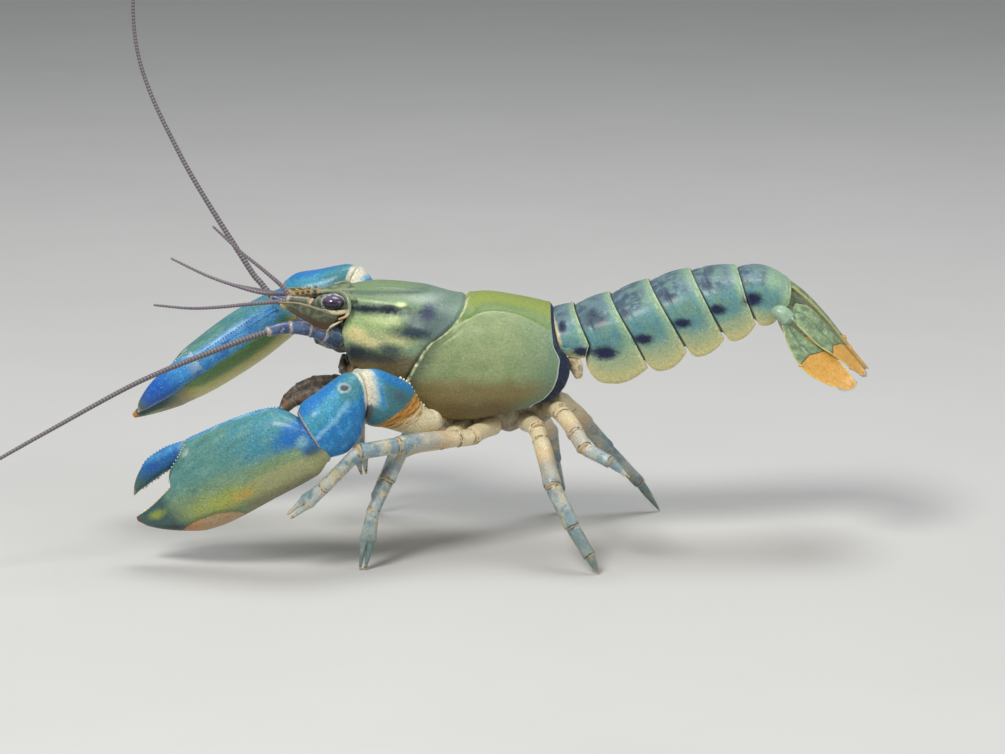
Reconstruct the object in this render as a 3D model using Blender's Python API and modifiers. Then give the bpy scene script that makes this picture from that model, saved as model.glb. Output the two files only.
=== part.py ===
"""The crayfish Cherax misolicus as a still model at life size.

It stands on the floor at Z = 0 with its head towards -X and its left side towards -Y.
The tables are in millimetres. MM turns them into metres where a mesh is made.
Every plate, limb segment and feeler is its own closed object, 0.3 mm clear of the next.
"""
from math import cos, pi, radians, sin

import bmesh
import bpy
from mathutils import Matrix, Vector

MM = 0.001
GAP = 0.3
LEFT = -1
RIGHT = 1
SIDES = (("left", LEFT), ("right", RIGHT))

# Carapace, side view: lines along X
TOP_LINE = ((-24.4, 43.5), (-20.4, 44.0), (-13.5, 43.4), (-6.4, 41.8), (-3.0, 42.1), (2.9, 41.3),
            (12.0, 39.1))
WIDEST_LINE = ((-24.6, 36.2), (-13.5, 35.0), (-3.7, 32.8), (12.0, 31.4))
LOW_LINE = ((-24.6, 30.9), (-16.7, 26.6), (-10.4, 22.8), (-6.9, 22.4), (2.8, 24.1), (6.1, 24.9), (12.0, 27.0))
# Carapace, top view: half widths along X
HALF_WIDTH = ((-24.6, 6.3), (-20.4, 7.7), (-13.5, 9.2), (-6.9, 10.2), (-1.0, 10.7), (6.0, 10.4), (12.0, 9.6))
LOW_HALF_WIDTH = ((-24.6, 5.4), (-13.5, 7.6), (2.8, 8.4), (12.0, 8.2))
CARAPACE_STATIONS = (-24.6, -22.5, -19.5, -16.0, -12.5, -9.0, -6.4, -3.5, 0.0, 3.5, 7.0, 9.5, 12.0)
# The groove between head and thorax, and the rear margin, as lines in side view
GROOVE = ((-6.0, 46.0), (-6.0, 41.7), (-6.9, 39.7), (-9.3, 37.1), (-11.9, 35.2), (-13.9, 32.2), (-16.2, 27.5),
          (-17.5, 20.0))
REAR_MARGIN = ((8.3, 46.0), (8.3, 39.9), (9.0, 35.2), (10.8, 32.3), (10.9, 30.6), (10.3, 28.2), (8.9, 26.2),
               (6.6, 24.6), (5.0, 20.0))
# Snout below the eyes: X, top, widest height, bottom, half width
SNOUT = ((-30.2, 36.4, 34.8, 33.6, 2.8), (-29.2, 37.4, 35.0, 33.0, 4.2), (-26.8, 38.4, 35.2, 32.4, 5.4),
         (-23.6, 39.0, 35.4, 31.8, 6.0), (-21.0, 39.4, 35.6, 31.4, 5.4))
# Rostrum: X, top, half width, thickness
ROSTRUM = ((-19.0, 44.1, 3.6, 3.0), (-24.4, 43.7, 3.1, 2.6), (-28.3, 43.3, 2.3, 1.9), (-31.5, 42.8, 1.6, 1.5),
           (-33.6, 42.4, 1.0, 1.1), (-35.2, 41.9, 0.35, 0.6))
ROSTRAL_TEETH_X = (-30.6, -32.0, -33.4)
POSTORBITAL_RIDGE = ((-24.3, 5.0, 41.4), (-21.5, 5.5, 41.8), (-16.0, 5.9, 41.4))
POSTORBITAL_RADII = (0.35, 0.6, 0.3)

STERNUM = ((-13.5, 27.0, 21.8, 2.6), (-10.5, 25.5, 19.4, 4.0), (-3.0, 25.5, 18.9, 4.4),
           (5.0, 26.5, 19.4, 4.4), (9.3, 28.5, 21.4, 3.4))

EYE_CENTRE = (-27.5, 5.7, 41.35)
EYE_RADII = (1.8, 1.6, 1.4)
STALK_PATH = ((-23.6, 1.6, 40.3), (-26.0, 3.0, 40.8), (-27.4, 4.4, 41.2), (-27.5, 5.2, 41.3))
STALK_RADII = (1.5, 1.7, 2.15, 2.2)

# Feelers of the left side, then of the right: the path and the thickness at its two ends
ANTENNULE_BASE = ((-28.2, 1.9, 37.0), (-29.6, 2.0, 39.3), (-31.6, 2.1, 40.7), (-35.2, 2.3, 41.2))
ANTENNULE_BASE_RADII = (1.1, 1.1, 0.95, 0.75)
ANTENNULE_WHIPS = {
    LEFT: (((-34.6, -2.3, 41.4), (-36.0, -1.9, 43.3), (-39.3, -1.6, 46.2), (-42.9, -1.3, 49.1),
            (-47.1, -1.0, 53.0)),
           ((-34.6, -2.4, 41.1), (-41.2, -4.0, 40.8), (-46.0, -5.0, 40.5), (-50.8, -6.0, 40.5),
            (-56.3, -7.0, 41.2))),
    RIGHT: (((-34.6, 2.3, 41.3), (-39.6, 2.3, 41.5), (-44.6, 3.2, 42.7), (-49.1, 4.0, 44.2),
             (-54.6, 5.0, 46.7)),
            ((-34.6, 2.3, 41.2), (-37.6, 3.4, 41.3), (-41.0, 5.2, 41.6), (-44.6, 7.0, 42.0))),
}
WHIP_RADII = (0.42, 0.26)
ANTENNA_BASE = {
    LEFT: ((-26.4, -4.4, 35.0), (-28.9, -5.2, 36.3), (-31.4, -5.8, 37.1), (-34.6, -6.9, 37.5),
           (-38.1, -8.5, 37.1)),
    RIGHT: ((-26.4, 4.4, 35.0), (-28.9, 5.2, 36.4), (-31.4, 5.8, 37.5), (-34.9, 6.9, 38.6),
            (-38.3, 8.1, 39.6)),
}
ANTENNA_BASE_RADII = (2.0, 2.1, 1.75, 1.5, 0.9)
FLAGELLUM = {
    LEFT: ((-38.1, -8.5, 37.1), (-44.8, -11.0, 35.1), (-58.0, -16.0, 30.5), (-72.0, -21.0, 23.6),
           (-86.0, -26.0, 16.4), (-100.0, -31.0, 9.6)),
    RIGHT: ((-38.3, 8.1, 39.6), (-40.3, 9.4, 41.8), (-43.0, 11.0, 45.1), (-54.1, 17.0, 62.3),
            (-61.3, 22.0, 78.5), (-61.8, 25.0, 95.0), (-59.0, 28.0, 112.0)),
}
FLAGELLUM_RADII = (0.62, 0.27)
SCALE_UPPER = ((-25.6, 6.4, 39.2), (-29.0, 7.0, 39.9), (-33.0, 6.8, 41.2), (-35.9, 6.2, 41.4))
SCALE_LOWER = ((-25.6, 6.6, 37.4), (-28.6, 7.4, 37.2), (-32.4, 7.2, 38.8), (-35.9, 6.3, 40.8))
SCALE_THICKNESS = 0.6

MAXILLIPED = ((-14.2, 3.2, 26.0), (-18.5, 3.4, 25.0), (-24.0, 3.8, 25.3), (-28.4, 4.0, 26.0),
              (-31.6, 4.2, 25.8), (-34.0, 4.1, 24.8), (-36.0, 3.9, 23.1), (-37.0, 3.7, 21.3))
MAXILLIPED_RADII = (1.5, 1.6, 1.6, 1.3, 1.2, 1.0, 0.8, 0.35)

# Great claws. Each segment has an axis from one joint to the next and its outline beside that axis,
# as distances along it and above or below it.
SHOULDER = {LEFT: (-10.4, -2.6, 22.4), RIGHT: (-10.4, 2.6, 22.4)}
ARM_START = {LEFT: (-12.1, -8.5, 22.3), RIGHT: (-13.2, 9.3, 24.6)}
ELBOW = {LEFT: (-22.9, -17.2, 28.5), RIGHT: (-25.4, 17.0, 39.3)}
WRIST = {LEFT: (-30.3, -21.0, 22.5), RIGHT: (-35.5, 18.5, 36.3)}
CLAW_TIP = {LEFT: (-59.0, -15.0, 8.3), RIGHT: (-62.8, 13.0, 18.3)}
CLAW_ROLL = {LEFT: 0.0, RIGHT: -64.0}
ARM_UPPER = ((0.0, 1.7), (3.3, 2.3), (5.2, 3.5), (7.4, 4.7), (12.0, 5.0), (15.5, 3.9))
ARM_LOWER = ((0.0, -1.9), (3.1, -3.2), (8.2, -3.5), (12.0, -4.0), (15.5, -3.4))
ARM_THICK = ((0.0, 1.8), (5.0, 2.6), (11.0, 3.4), (15.5, 2.9))
CARPUS_UPPER = ((0.0, 3.3), (1.6, 4.5), (5.3, 4.9), (8.0, 5.2), (10.5, 4.3))
CARPUS_LOWER = ((0.0, -2.4), (2.0, -3.8), (4.4, -5.1), (7.0, -5.6), (10.5, -3.9))
CARPUS_THICK = ((0.0, 2.6), (2.5, 3.8), (7.0, 4.5), (10.5, 3.7))
HAND_UPPER = ((0.0, 3.6), (1.8, 5.6), (4.0, 6.8), (8.0, 7.6), (14.0, 7.9), (19.4, 7.9), (22.0, 6.1),
              (24.2, 4.3),
              (25.0, 2.2), (27.4, 1.1), (30.2, 0.2), (32.8, -0.3))
HAND_LOWER = ((0.0, -4.6), (2.5, -6.0), (10.0, -6.6), (18.9, -7.2), (22.5, -6.9), (25.7, -5.8), (31.6, -2.6),
              (32.8, -1.3))
HAND_THICK = ((0.0, 3.0), (4.0, 4.0), (10.0, 4.5), (18.0, 4.1), (24.2, 3.0), (28.0, 2.0), (32.8, 0.45))
HAND_STATIONS = (-2.5, 0.0, 1.8, 4.0, 8.0, 14.0, 19.4, 22.0, 24.2, 25.0, 27.4, 30.2, 32.8)
# Movable finger: distance along, height, half height, half thickness
FINGER = ((18.5, 6.3, 1.3, 2.2), (21.6, 6.5, 1.5, 2.2), (24.0, 6.3, 1.75, 2.1), (26.6, 5.9, 1.75, 1.8),
          (29.0, 5.0, 1.3, 1.3), (30.6, 4.1, 0.75, 0.8), (31.5, 3.3, 0.3, 0.35))
FINGER_HINGE = (20.6, 6.3)
FINGER_SWING = {LEFT: 0.0, RIGHT: 12.0}
FIXED_FINGER_TEETH = (26.2, 27.6, 29.0, 30.4)
FINGER_TEETH = (25.4, 26.8, 28.2, 29.4)
PALM_KNOBS = (3.0, 5.6, 8.2, 10.8, 13.4, 16.0, 18.4)
ARM_SPINES = (4.4, 6.2, 8.0, 9.8)
# Radius and height of a tooth, and how far its root sits below the surface
KNOB_SIZE = (0.45, 0.4)
ARM_SPINE_SIZE = (0.4, 0.6)
CARPUS_THORN_SIZE = (0.7, 1.4)
TOOTH_SUNK = 0.1
# The wrist's inner thorn: share of the length, distance inward, height above the axis
CARPUS_THORN = (0.62, 4.0, 1.5)
# Sections of the arm and wrist as shares of their length
ARM_STATIONS = (0.0, 0.2, 0.36, 0.52, 0.82, 1.2)
CARPUS_STATIONS = (-0.25, 0.0, 0.16, 0.45, 0.72, 1.0, 1.2)
ISCHIUM_RADII = (1.9, 2.0, 1.8, 1.5)

# Abdomen. Rear edge of each ring: X and Z on top; X, Z and half width at the side;
# X, Z and half width at the side plate's rear corner.
REAR_EDGES = (
    (11.6, 40.1, 14.0, 34.8, 8.5, 13.5, 32.9, 8.3),
    (17.5, 41.9, 20.7, 36.5, 8.5, 23.6, 31.0, 8.1),
    (23.9, 44.1, 27.3, 38.3, 8.2, 29.9, 33.6, 7.9),
    (30.7, 45.9, 33.7, 40.0, 7.7, 36.0, 35.6, 7.5),
    (38.3, 46.4, 39.5, 42.0, 7.1, 41.1, 37.9, 6.9),
    (47.2, 44.0, 46.6, 41.2, 5.4, 44.4, 38.2, 5.6),
)
FIRST_EDGE = (7.4, 39.0, 7.6, 34.6, 7.9, 7.6, 33.4, 7.8)
# Front corner and lowest point of each side plate, X and Z
PLATE_FRONTS = ((9.6, 33.6), (13.7, 31.4), (23.5, 31.8), (30.2, 34.0), (36.2, 36.3), (41.4, 38.4))
PLATE_TIPS = ((11.6, 32.7), (17.6, 28.4), (26.6, 30.6), (32.6, 32.9), (38.4, 35.4), (42.6, 37.6))
RING_CROWNS = (0.15, 0.35, 0.4, 0.45, 0.45, 1.4)
RING_STATIONS = (0.0, 0.12, 0.45, 0.8, 1.0)
RING_GAP = 0.42
RING_STEP = 0.35
PLATE_THICKNESS = 1.1
BELLY_RISE = 3.6
SWIMMERET_RINGS = (1, 2, 3, 4)
SWIMMERET_LENGTH = 5.2

# Tail fan: side lines of each blade on the right, from root to end
TELSON_EDGE = ((47.5, 3.0, 43.4), (50.2, 3.7, 41.2), (53.4, 4.1, 37.8), (56.2, 4.0, 34.3), (58.7, 2.9, 31.1),
               (59.9, 1.2, 29.8))
TELSON_CREST = 0.9
UROPOD_BASE = ((43.6, 4.3, 40.1), (45.3, 5.7, 39.7), (46.5, 6.2, 38.6))
UROPOD_BASE_RADII = (1.3, 1.45, 1.3)
INNER_BLADE = (((47.9, 4.6, 41.2), (50.3, 4.9, 40.6), (53.1, 5.2, 37.3), (55.8, 5.2, 34.1), (58.1, 5.5, 31.5),
                (58.9, 6.3, 30.2)),
               ((47.0, 6.4, 38.6), (48.9, 7.1, 36.8), (51.3, 7.8, 34.6), (54.0, 8.4, 33.0), (56.8, 8.1, 30.8),
                (58.1, 7.3, 29.9)))
OUTER_BLADE = (((46.9, 6.6, 37.6), (49.0, 7.0, 35.6), (51.6, 7.5, 33.3), (54.2, 8.3, 31.7), (56.4, 9.6, 30.2),
                (56.9, 10.9, 29.4)),
               ((45.3, 7.7, 37.9), (46.2, 9.3, 34.9), (47.6, 10.8, 32.5), (49.5, 11.5, 30.6),
                 (52.4, 12.0, 29.1),
                (55.0, 12.0, 28.4)))
BLADE_THICKNESS = 0.75

# Walking legs: coxa, ischium, knee, wrist, then the last joint and the tip
LEGS = {
    ("2", LEFT): ((-5.9, -3.4, 20.2), (-8.8, -7.8, 19.0), (-16.4, -13.8, 18.8), (-18.6, -16.2, 14.2),
                  (-20.8, -18.0, 9.6), (-22.7, -19.0, -0.6)),
    ("3", LEFT): ((-1.3, -3.4, 20.4), (-5.1, -9.0, 19.7), (-16.9, -18.0, 20.4), (-22.9, -21.6, 20.2),
                  (-28.6, -22.2, 14.4), (-34.0, -21.6, 9.7)),
    ("4", LEFT): ((3.8, -3.4, 21.0), (5.8, -9.4, 21.0), (8.1, -18.0, 13.6), (11.2, -20.0, 7.5),
                  (14.0, -21.2, 2.9), (15.7, -21.8, -0.6)),
    ("5", LEFT): ((7.6, -2.6, 23.4), (9.6, -9.0, 23.8), (11.9, -15.4, 21.6), (13.2, -17.6, 19.8),
                  (17.3, -19.4, 18.0), (20.2, -20.2, 15.8)),
    ("2", RIGHT): ((-5.9, 3.4, 20.2), (-9.4, 8.0, 19.2), (-21.4, 15.6, 19.4), (-24.6, 17.6, 16.6),
                   (-24.6, 18.2, 11.4), (-23.8, 18.0, 7.1)),
    ("3", RIGHT): ((-1.3, 3.4, 20.4), (-4.8, 8.6, 18.6), (-14.6, 15.4, 15.4), (-18.0, 17.0, 11.6),
                   (-20.6, 17.6, 5.4), (-22.4, 17.8, -0.6)),
    ("4", RIGHT): ((3.8, 3.4, 21.0), (5.6, 8.8, 19.8), (8.2, 16.6, 14.4), (8.8, 17.8, 9.4),
                   (9.8, 18.2, 4.0), (10.6, 18.2, -0.6)),
    ("5", RIGHT): ((7.6, 2.6, 23.2), (10.4, 8.6, 21.6), (14.2, 14.8, 16.4), (18.0, 17.0, 11.6),
                   (23.6, 18.8, 5.2), (27.6, 19.4, -0.6)),
}
LEG_RADII = (1.75, 1.35, 1.3, 1.1, 0.95, 0.4)
LEG_SWELL = 1.14
LEG_PINCH = 0.84
PINCER_LEGS = ("2", "3")
PINCER_SPREAD = 0.5
PINCER_SPAN = (0.12, 0.9)
PINCER_ROOT_ASIDE = 0.45
PINCER_BEND = (0.4, 0.2)
PINCER_RADII = (0.5, 0.55, 0.3)
FLOOR_BLOCK = (200, 200, 10)

COLOURS = {
    "shell": (0.20, 0.25, 0.12, 1.0),
    "ring": (0.13, 0.22, 0.22, 1.0),
    "claw": (0.05, 0.25, 0.42, 1.0),
    "limb": (0.35, 0.42, 0.45, 1.0),
    "feeler": (0.16, 0.14, 0.15, 1.0),
    "fan": (0.55, 0.36, 0.12, 1.0),
    "belly": (0.50, 0.44, 0.34, 1.0),
    "eye": (0.02, 0.01, 0.03, 1.0),
}
SHINE = {"shell": 0.42, "ring": 0.4, "claw": 0.35, "limb": 0.45, "feeler": 0.55, "fan": 0.5, "belly": 0.6,
         "eye": 0.08}


def clear_scene():
    for thing in list(bpy.data.objects):
        bpy.data.objects.remove(thing, do_unlink=True)


def material(kind):
    """The Principled material of one kind of surface."""
    made = bpy.data.materials.get(kind) or bpy.data.materials.new(kind)
    made.use_nodes = True
    shader = made.node_tree.nodes["Principled BSDF"]
    shader.inputs["Base Color"].default_value = COLOURS[kind]
    shader.inputs["Roughness"].default_value = SHINE[kind]
    shader.inputs["Metallic"].default_value = 0.0
    return made


def line_at(line, x):
    """Height of a line of (x, value) points, rounded smoothly through them."""
    points = sorted(line)
    x = min(max(x, points[0][0]), points[-1][0])
    index = next(i for i in range(1, len(points)) if x <= points[i][0])
    (x0, v0), (x1, v1) = points[index - 1], points[index]
    slope = (v1 - v0) / (x1 - x0)
    before = points[index - 2] if index > 1 else None
    after = points[index + 1] if index + 1 < len(points) else None
    start = limited(slope, (v0 - before[1]) / (x0 - before[0])) if before else slope
    end = limited(slope, (after[1] - v1) / (after[0] - x1)) if after else slope
    t = (x - x0) / (x1 - x0)
    rise = v0 + (v1 - v0) * t * t * (3 - 2 * t)
    return rise + (x1 - x0) * (start * t * (1 - t) ** 2 - end * t * t * (1 - t))


def limited(slope_a, slope_b):
    """A shared slope that never overshoots its two neighbours."""
    if slope_a * slope_b <= 0:
        return 0.0
    return 2 * slope_a * slope_b / (slope_a + slope_b)


def curve_at(points, t):
    """Point at t = 0 to 1 on a smooth curve through points."""
    points = [Vector(p) for p in points]
    place = t * (len(points) - 1)
    index = min(int(place), len(points) - 2)
    f = place - index
    p1, p2 = points[index], points[index + 1]
    p0 = points[index - 1] if index > 0 else 2 * p1 - p2
    p3 = points[index + 2] if index + 2 < len(points) else 2 * p2 - p1
    return 0.5 * (2 * p1 + (p2 - p0) * f + (2 * p0 - 5 * p1 + 4 * p2 - p3) * f * f
                  + (3 * p1 - p0 - 3 * p2 + p3) * f ** 3)


def finish_mesh(name, form):
    """Make an object of a bmesh built in millimetres."""
    bmesh.ops.recalc_face_normals(form, faces=form.faces)
    bmesh.ops.scale(form, vec=(MM, MM, MM), verts=form.verts)
    mesh = bpy.data.meshes.new(name)
    form.to_mesh(mesh)
    form.free()
    made = bpy.data.objects.new(name, mesh)
    model.objects.link(made)
    return made


def loft(name, rings, caps=None):
    """A closed body through rings with as many points each. The ends are flat unless caps divides them."""
    form = bmesh.new()
    rows = [[form.verts.new(point) for point in ring] for ring in rings]
    count = len(rows[0])
    for row, following in zip(rows, rows[1:]):
        for i in range(count):
            j = (i + 1) % count
            form.faces.new((row[i], row[j], following[j], following[i]))
    for row in (rows[0], rows[-1]):
        for corners in caps or (range(count),):
            form.faces.new([row[i] for i in corners])
    return finish_mesh(name, form)


def tube(name, path, radii, resolution=2):
    """A round tapering bar along a path, from a curve with a bevel and filled ends."""
    curve = bpy.data.curves.new(name, "CURVE")
    curve.dimensions = "3D"
    curve.bevel_depth = MM
    curve.bevel_resolution = resolution
    curve.use_fill_caps = True
    spline = curve.splines.new("POLY")
    spline.points.add(len(path) - 1)
    for point, place, radius in zip(spline.points, path, radii):
        point.co = (*(Vector(place) * MM), 1.0)
        point.radius = radius
    bar = bpy.data.objects.new(name, curve)
    model.objects.link(bar)
    bpy.context.view_layer.update()
    graph = bpy.context.evaluated_depsgraph_get()
    mesh = bpy.data.meshes.new_from_object(bar.evaluated_get(graph))
    mesh.name = name
    bpy.data.objects.remove(bar, do_unlink=True)
    form = bmesh.new()
    form.from_mesh(mesh)
    bmesh.ops.remove_doubles(form, verts=form.verts, dist=0.00001)
    bmesh.ops.recalc_face_normals(form, faces=form.faces)
    form.to_mesh(mesh)
    form.free()
    made = bpy.data.objects.new(name, mesh)
    model.objects.link(made)
    return made


def ball(name, centre, radii, segments=14, rings=9):
    form = bmesh.new()
    bmesh.ops.create_uvsphere(form, u_segments=segments, v_segments=rings, radius=1.0)
    shape = Matrix.Translation(centre) @ Matrix.Diagonal((*radii, 1.0))
    bmesh.ops.transform(form, matrix=shape, verts=form.verts)
    return finish_mesh(name, form)


def spine(base, direction, radius, height, sides=5):
    """A small pointed tooth whose root is sunk into what carries it."""
    direction = Vector(direction).normalized()
    root = Vector(base) - direction * radius
    form = bmesh.new()
    bmesh.ops.create_cone(form, cap_ends=True, segments=sides, radius1=radius, radius2=radius * 0.25,
                          depth=height + radius)
    turn = Vector((0, 0, 1)).rotation_difference(direction).to_matrix().to_4x4()
    middle = root + direction * (height + radius) / 2
    bmesh.ops.transform(form, matrix=Matrix.Translation(middle) @ turn, verts=form.verts)
    return finish_mesh("spine", form)


def blade(name, edge_a, edge_b, thickness, crest, steps=7, across=4):
    """A thin plate between two edges, raised by crest along its middle, the same triangles on both faces."""
    form = bmesh.new()
    bmesh.ops.create_grid(form, x_segments=across, y_segments=steps, size=0.5)
    lengthwise = curve_at(edge_a, 1.0) - curve_at(edge_a, 0.0)
    upward = (curve_at(edge_b, 0.5) - curve_at(edge_a, 0.5)).cross(lengthwise).normalized()
    for vert in form.verts:
        u = vert.co.x + 0.5
        v = vert.co.y + 0.5
        place = curve_at(edge_a, v).lerp(curve_at(edge_b, v), u)
        vert.co = place + upward * crest * sin(pi * u)
    bmesh.ops.triangulate(form, faces=form.faces)
    made = finish_mesh(name, form)
    wall = made.modifiers.new("wall", "SOLIDIFY")
    wall.thickness = thickness * MM
    wall.offset = 0.0
    apply_modifiers(made)
    return made


def apply_modifiers(thing):
    bpy.context.view_layer.update()
    graph = bpy.context.evaluated_depsgraph_get()
    mesh = bpy.data.meshes.new_from_object(thing.evaluated_get(graph))
    thing.modifiers.clear()
    thing.data = mesh
    mesh.name = thing.name


def keep_largest(thing):
    """Keep only the closed surface that holds the most volume."""
    form = bmesh.new()
    form.from_mesh(thing.data)
    left = set(form.faces)
    pieces = []
    while left:
        found = {left.pop()}
        front = list(found)
        while front:
            near = {other for edge in front.pop().edges for other in edge.link_faces} & left
            left -= near
            found |= near
            front.extend(near)
        pieces.append(found)
    largest = max(pieces, key=enclosed)
    dropped = [face for piece in pieces if piece is not largest for face in piece]
    bmesh.ops.delete(form, geom=dropped, context="FACES")
    form.to_mesh(thing.data)
    form.free()


def enclosed(faces):
    """Volume inside a closed set of faces."""
    total = 0.0
    for face in faces:
        corners = [vert.co for vert in face.verts]
        for i in range(1, len(corners) - 1):
            total += corners[0].dot(corners[i].cross(corners[i + 1])) / 6
    return total


def fuse(thing, pieces, solver="EXACT"):
    """Join closed pieces to a node with one union."""
    group = bpy.data.collections.new(thing.name + " pieces")
    for piece in pieces:
        group.objects.link(piece)
    join = thing.modifiers.new("join", "BOOLEAN")
    join.operation = "UNION"
    join.operand_type = "COLLECTION"
    join.collection = group
    join.solver = solver
    apply_modifiers(thing)
    for piece in pieces:
        bpy.data.objects.remove(piece, do_unlink=True)
    bpy.data.collections.remove(group)
    keep_largest(thing)


def cut(thing, cutter, operation="DIFFERENCE", solver="EXACT"):
    """Cut a node by another mesh, which is removed afterwards."""
    step = thing.modifiers.new("cut", "BOOLEAN")
    step.operation = operation
    step.object = cutter
    step.solver = solver
    apply_modifiers(thing)
    bpy.data.objects.remove(cutter, do_unlink=True)
    keep_largest(thing)


def swollen(thing, gap):
    """A copy of a node with its surface moved out by the gap."""
    form = bmesh.new()
    form.from_mesh(thing.data)
    form.normal_update()
    offsets = [(vert, vert.normal * gap * MM * min(vert.calc_shell_factor(), 1.6)) for vert in form.verts]
    for vert, offset in offsets:
        vert.co += offset
    mesh = bpy.data.meshes.new("swollen")
    form.to_mesh(mesh)
    form.free()
    made = bpy.data.objects.new("swollen", mesh)
    model.objects.link(made)
    return made


def set_clear(thing, *neighbours):
    """Cut a node back from its neighbours so that it meets them face to face."""
    for neighbour in neighbours:
        cut(thing, swollen(neighbour, GAP))


def one_side(mesh, place, normal, side):
    """The part of a closed mesh in front of a plane (side 1) or behind it (side -1), half a gap clear."""
    place = Vector(place) * MM
    normal = Vector(normal).normalized()
    form = bmesh.new()
    form.from_mesh(mesh)
    bmesh.ops.bisect_plane(form, geom=form.verts[:] + form.edges[:] + form.faces[:], dist=0.000001,
                           plane_co=place + normal * side * GAP / 2 * MM, plane_no=normal,
                           clear_outer=side < 0, clear_inner=side > 0)
    rim = [edge for edge in form.edges if edge.is_boundary]
    bmesh.ops.contextual_create(form, geom=rim)
    bmesh.ops.recalc_face_normals(form, faces=form.faces)
    half = bpy.data.meshes.new(mesh.name)
    form.to_mesh(half)
    form.free()
    return half


def trim(thing, place, normal, side):
    thing.data = one_side(thing.data, place, normal, side)


def part_at(thing, name, place, normal):
    """Divide a node with a thin flat cut. The far side becomes a new node."""
    other = bpy.data.objects.new(name, one_side(thing.data, place, normal, 1))
    model.objects.link(other)
    trim(thing, place, normal, -1)
    return other


def profile_block(name, line, far_x, half_depth=20.0):
    """A block across the body, bounded at one end by a line in side view."""
    form = bmesh.new()
    outline = [(x, -half_depth, z) for x, z in line]
    outline += [(far_x, -half_depth, line[-1][1]), (far_x, -half_depth, line[0][1])]
    face = form.faces.new([form.verts.new(point) for point in outline])
    raised = bmesh.ops.extrude_face_region(form, geom=[face])
    top = [item for item in raised["geom"] if isinstance(item, bmesh.types.BMVert)]
    bmesh.ops.translate(form, verts=top, vec=(0, 2 * half_depth, 0))
    return finish_mesh(name, form)


def shell_section(x, half_width, top, widest, low_half_width, low, arch=6, flank=3):
    """One ring of the carapace: a domed roof, flanks that tuck in, and a flat floor."""
    half = []
    for i in range(1, arch + 1):
        a = i / arch * pi / 2
        half.append((half_width * sin(a) ** 0.92, widest + (top - widest) * max(cos(a), 0.0) ** 0.95))
    for i in range(1, flank + 1):
        t = i / flank
        half.append((half_width + (low_half_width - half_width) * t ** 1.8, widest + (low - widest) * t))
    half.append((low_half_width * 0.55, low + 0.5))
    right = [(x, y, z) for y, z in half]
    left = [(x, -y, z) for y, z in reversed(half)]
    return [(x, 0.0, top)] + right + [(x, 0.0, low + 0.7)] + left


def make_carapace():
    """Head and thorax as one shell, then parted along the groove."""
    rings = [shell_section(x, line_at(HALF_WIDTH, x), line_at(TOP_LINE, x), line_at(WIDEST_LINE, x),
                           line_at(LOW_HALF_WIDTH, x), line_at(LOW_LINE, x)) for x in CARAPACE_STATIONS]
    shell = loft("thorax", rings)
    cut(shell, profile_block("rear", REAR_MARGIN, 20.0))
    head = shell.copy()
    head.data = shell.data.copy()
    head.name = "head"
    model.objects.link(head)
    front_line = [(x + GAP / 2, z) for x, z in GROOVE]
    rear_line = [(x - GAP / 2, z) for x, z in GROOVE]
    cut(shell, profile_block("front", front_line, -40.0))
    cut(head, profile_block("rear", rear_line, 20.0))
    snout = loft("snout", [shell_section(x, half, top, widest, half * 0.7, low) for x, top, widest, low, half
                           in SNOUT])
    beak = loft("rostrum", [oval((x, 0, top - thick / 2), (0, 1, 0), (0, 0, 1), half, thick / 2, 10)
                            for x, top, half, thick in ROSTRUM])
    pieces = [snout, beak]
    for _, side in SIDES:
        for x in ROSTRAL_TEETH_X:
            half = line_at([(row[0], row[2]) for row in ROSTRUM], x)
            top = line_at([(row[0], row[1]) for row in ROSTRUM], x)
            pieces.append(spine((x, side * half * 0.75, top - 0.5), (-0.8, side * 0.35, 0.55), 0.42, 0.75))
        ridge = [(x, side * y, z) for x, y, z in POSTORBITAL_RIDGE]
        pieces.append(tube("ridge", ridge, POSTORBITAL_RADII, 1))
    fuse(head, pieces)
    return head, shell


def oval(centre, across, upward, half_across, half_up, sides, power=1.0):
    """A ring of points round a centre, an ellipse or a squarer form of one."""
    centre, across, upward = Vector(centre), Vector(across), Vector(upward)
    ring = []
    for i in range(sides):
        a = 2 * pi * i / sides
        c, s = cos(a), sin(a)
        wide = half_across * abs(c) ** power * (1 if c >= 0 else -1)
        tall = half_up * abs(s) ** power * (1 if s >= 0 else -1)
        ring.append(centre + across * wide + upward * tall)
    return ring


def make_sternum(thorax, head):
    rings = []
    for x, top, low, half in STERNUM:
        rings.append([(x, -half, top), (x, -half, low + 1.2), (x, -half * 0.55, low), (x, half * 0.55, low),
                      (x, half, low + 1.2), (x, half, top)])
    sternum = loft("sternum", rings)
    set_clear(sternum, thorax, head)
    return sternum


def mirrored(points, side):
    return [(x, side * y, z) for x, y, z in points]


def smooth_path(points, count):
    return [curve_at(points, i / (count - 1)) for i in range(count)]


def tapering(radii, count):
    return [radii[0] + (radii[1] - radii[0]) * (i / (count - 1)) ** 0.8 for i in range(count)]


def make_eyes(head):
    for word, side in SIDES:
        eye = ball("eye_" + word, mirrored([EYE_CENTRE], side)[0], EYE_RADII)
        stalk = tube("eyestalk_" + word, mirrored(STALK_PATH, side), STALK_RADII, 3)
        set_clear(stalk, head, eye)


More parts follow.
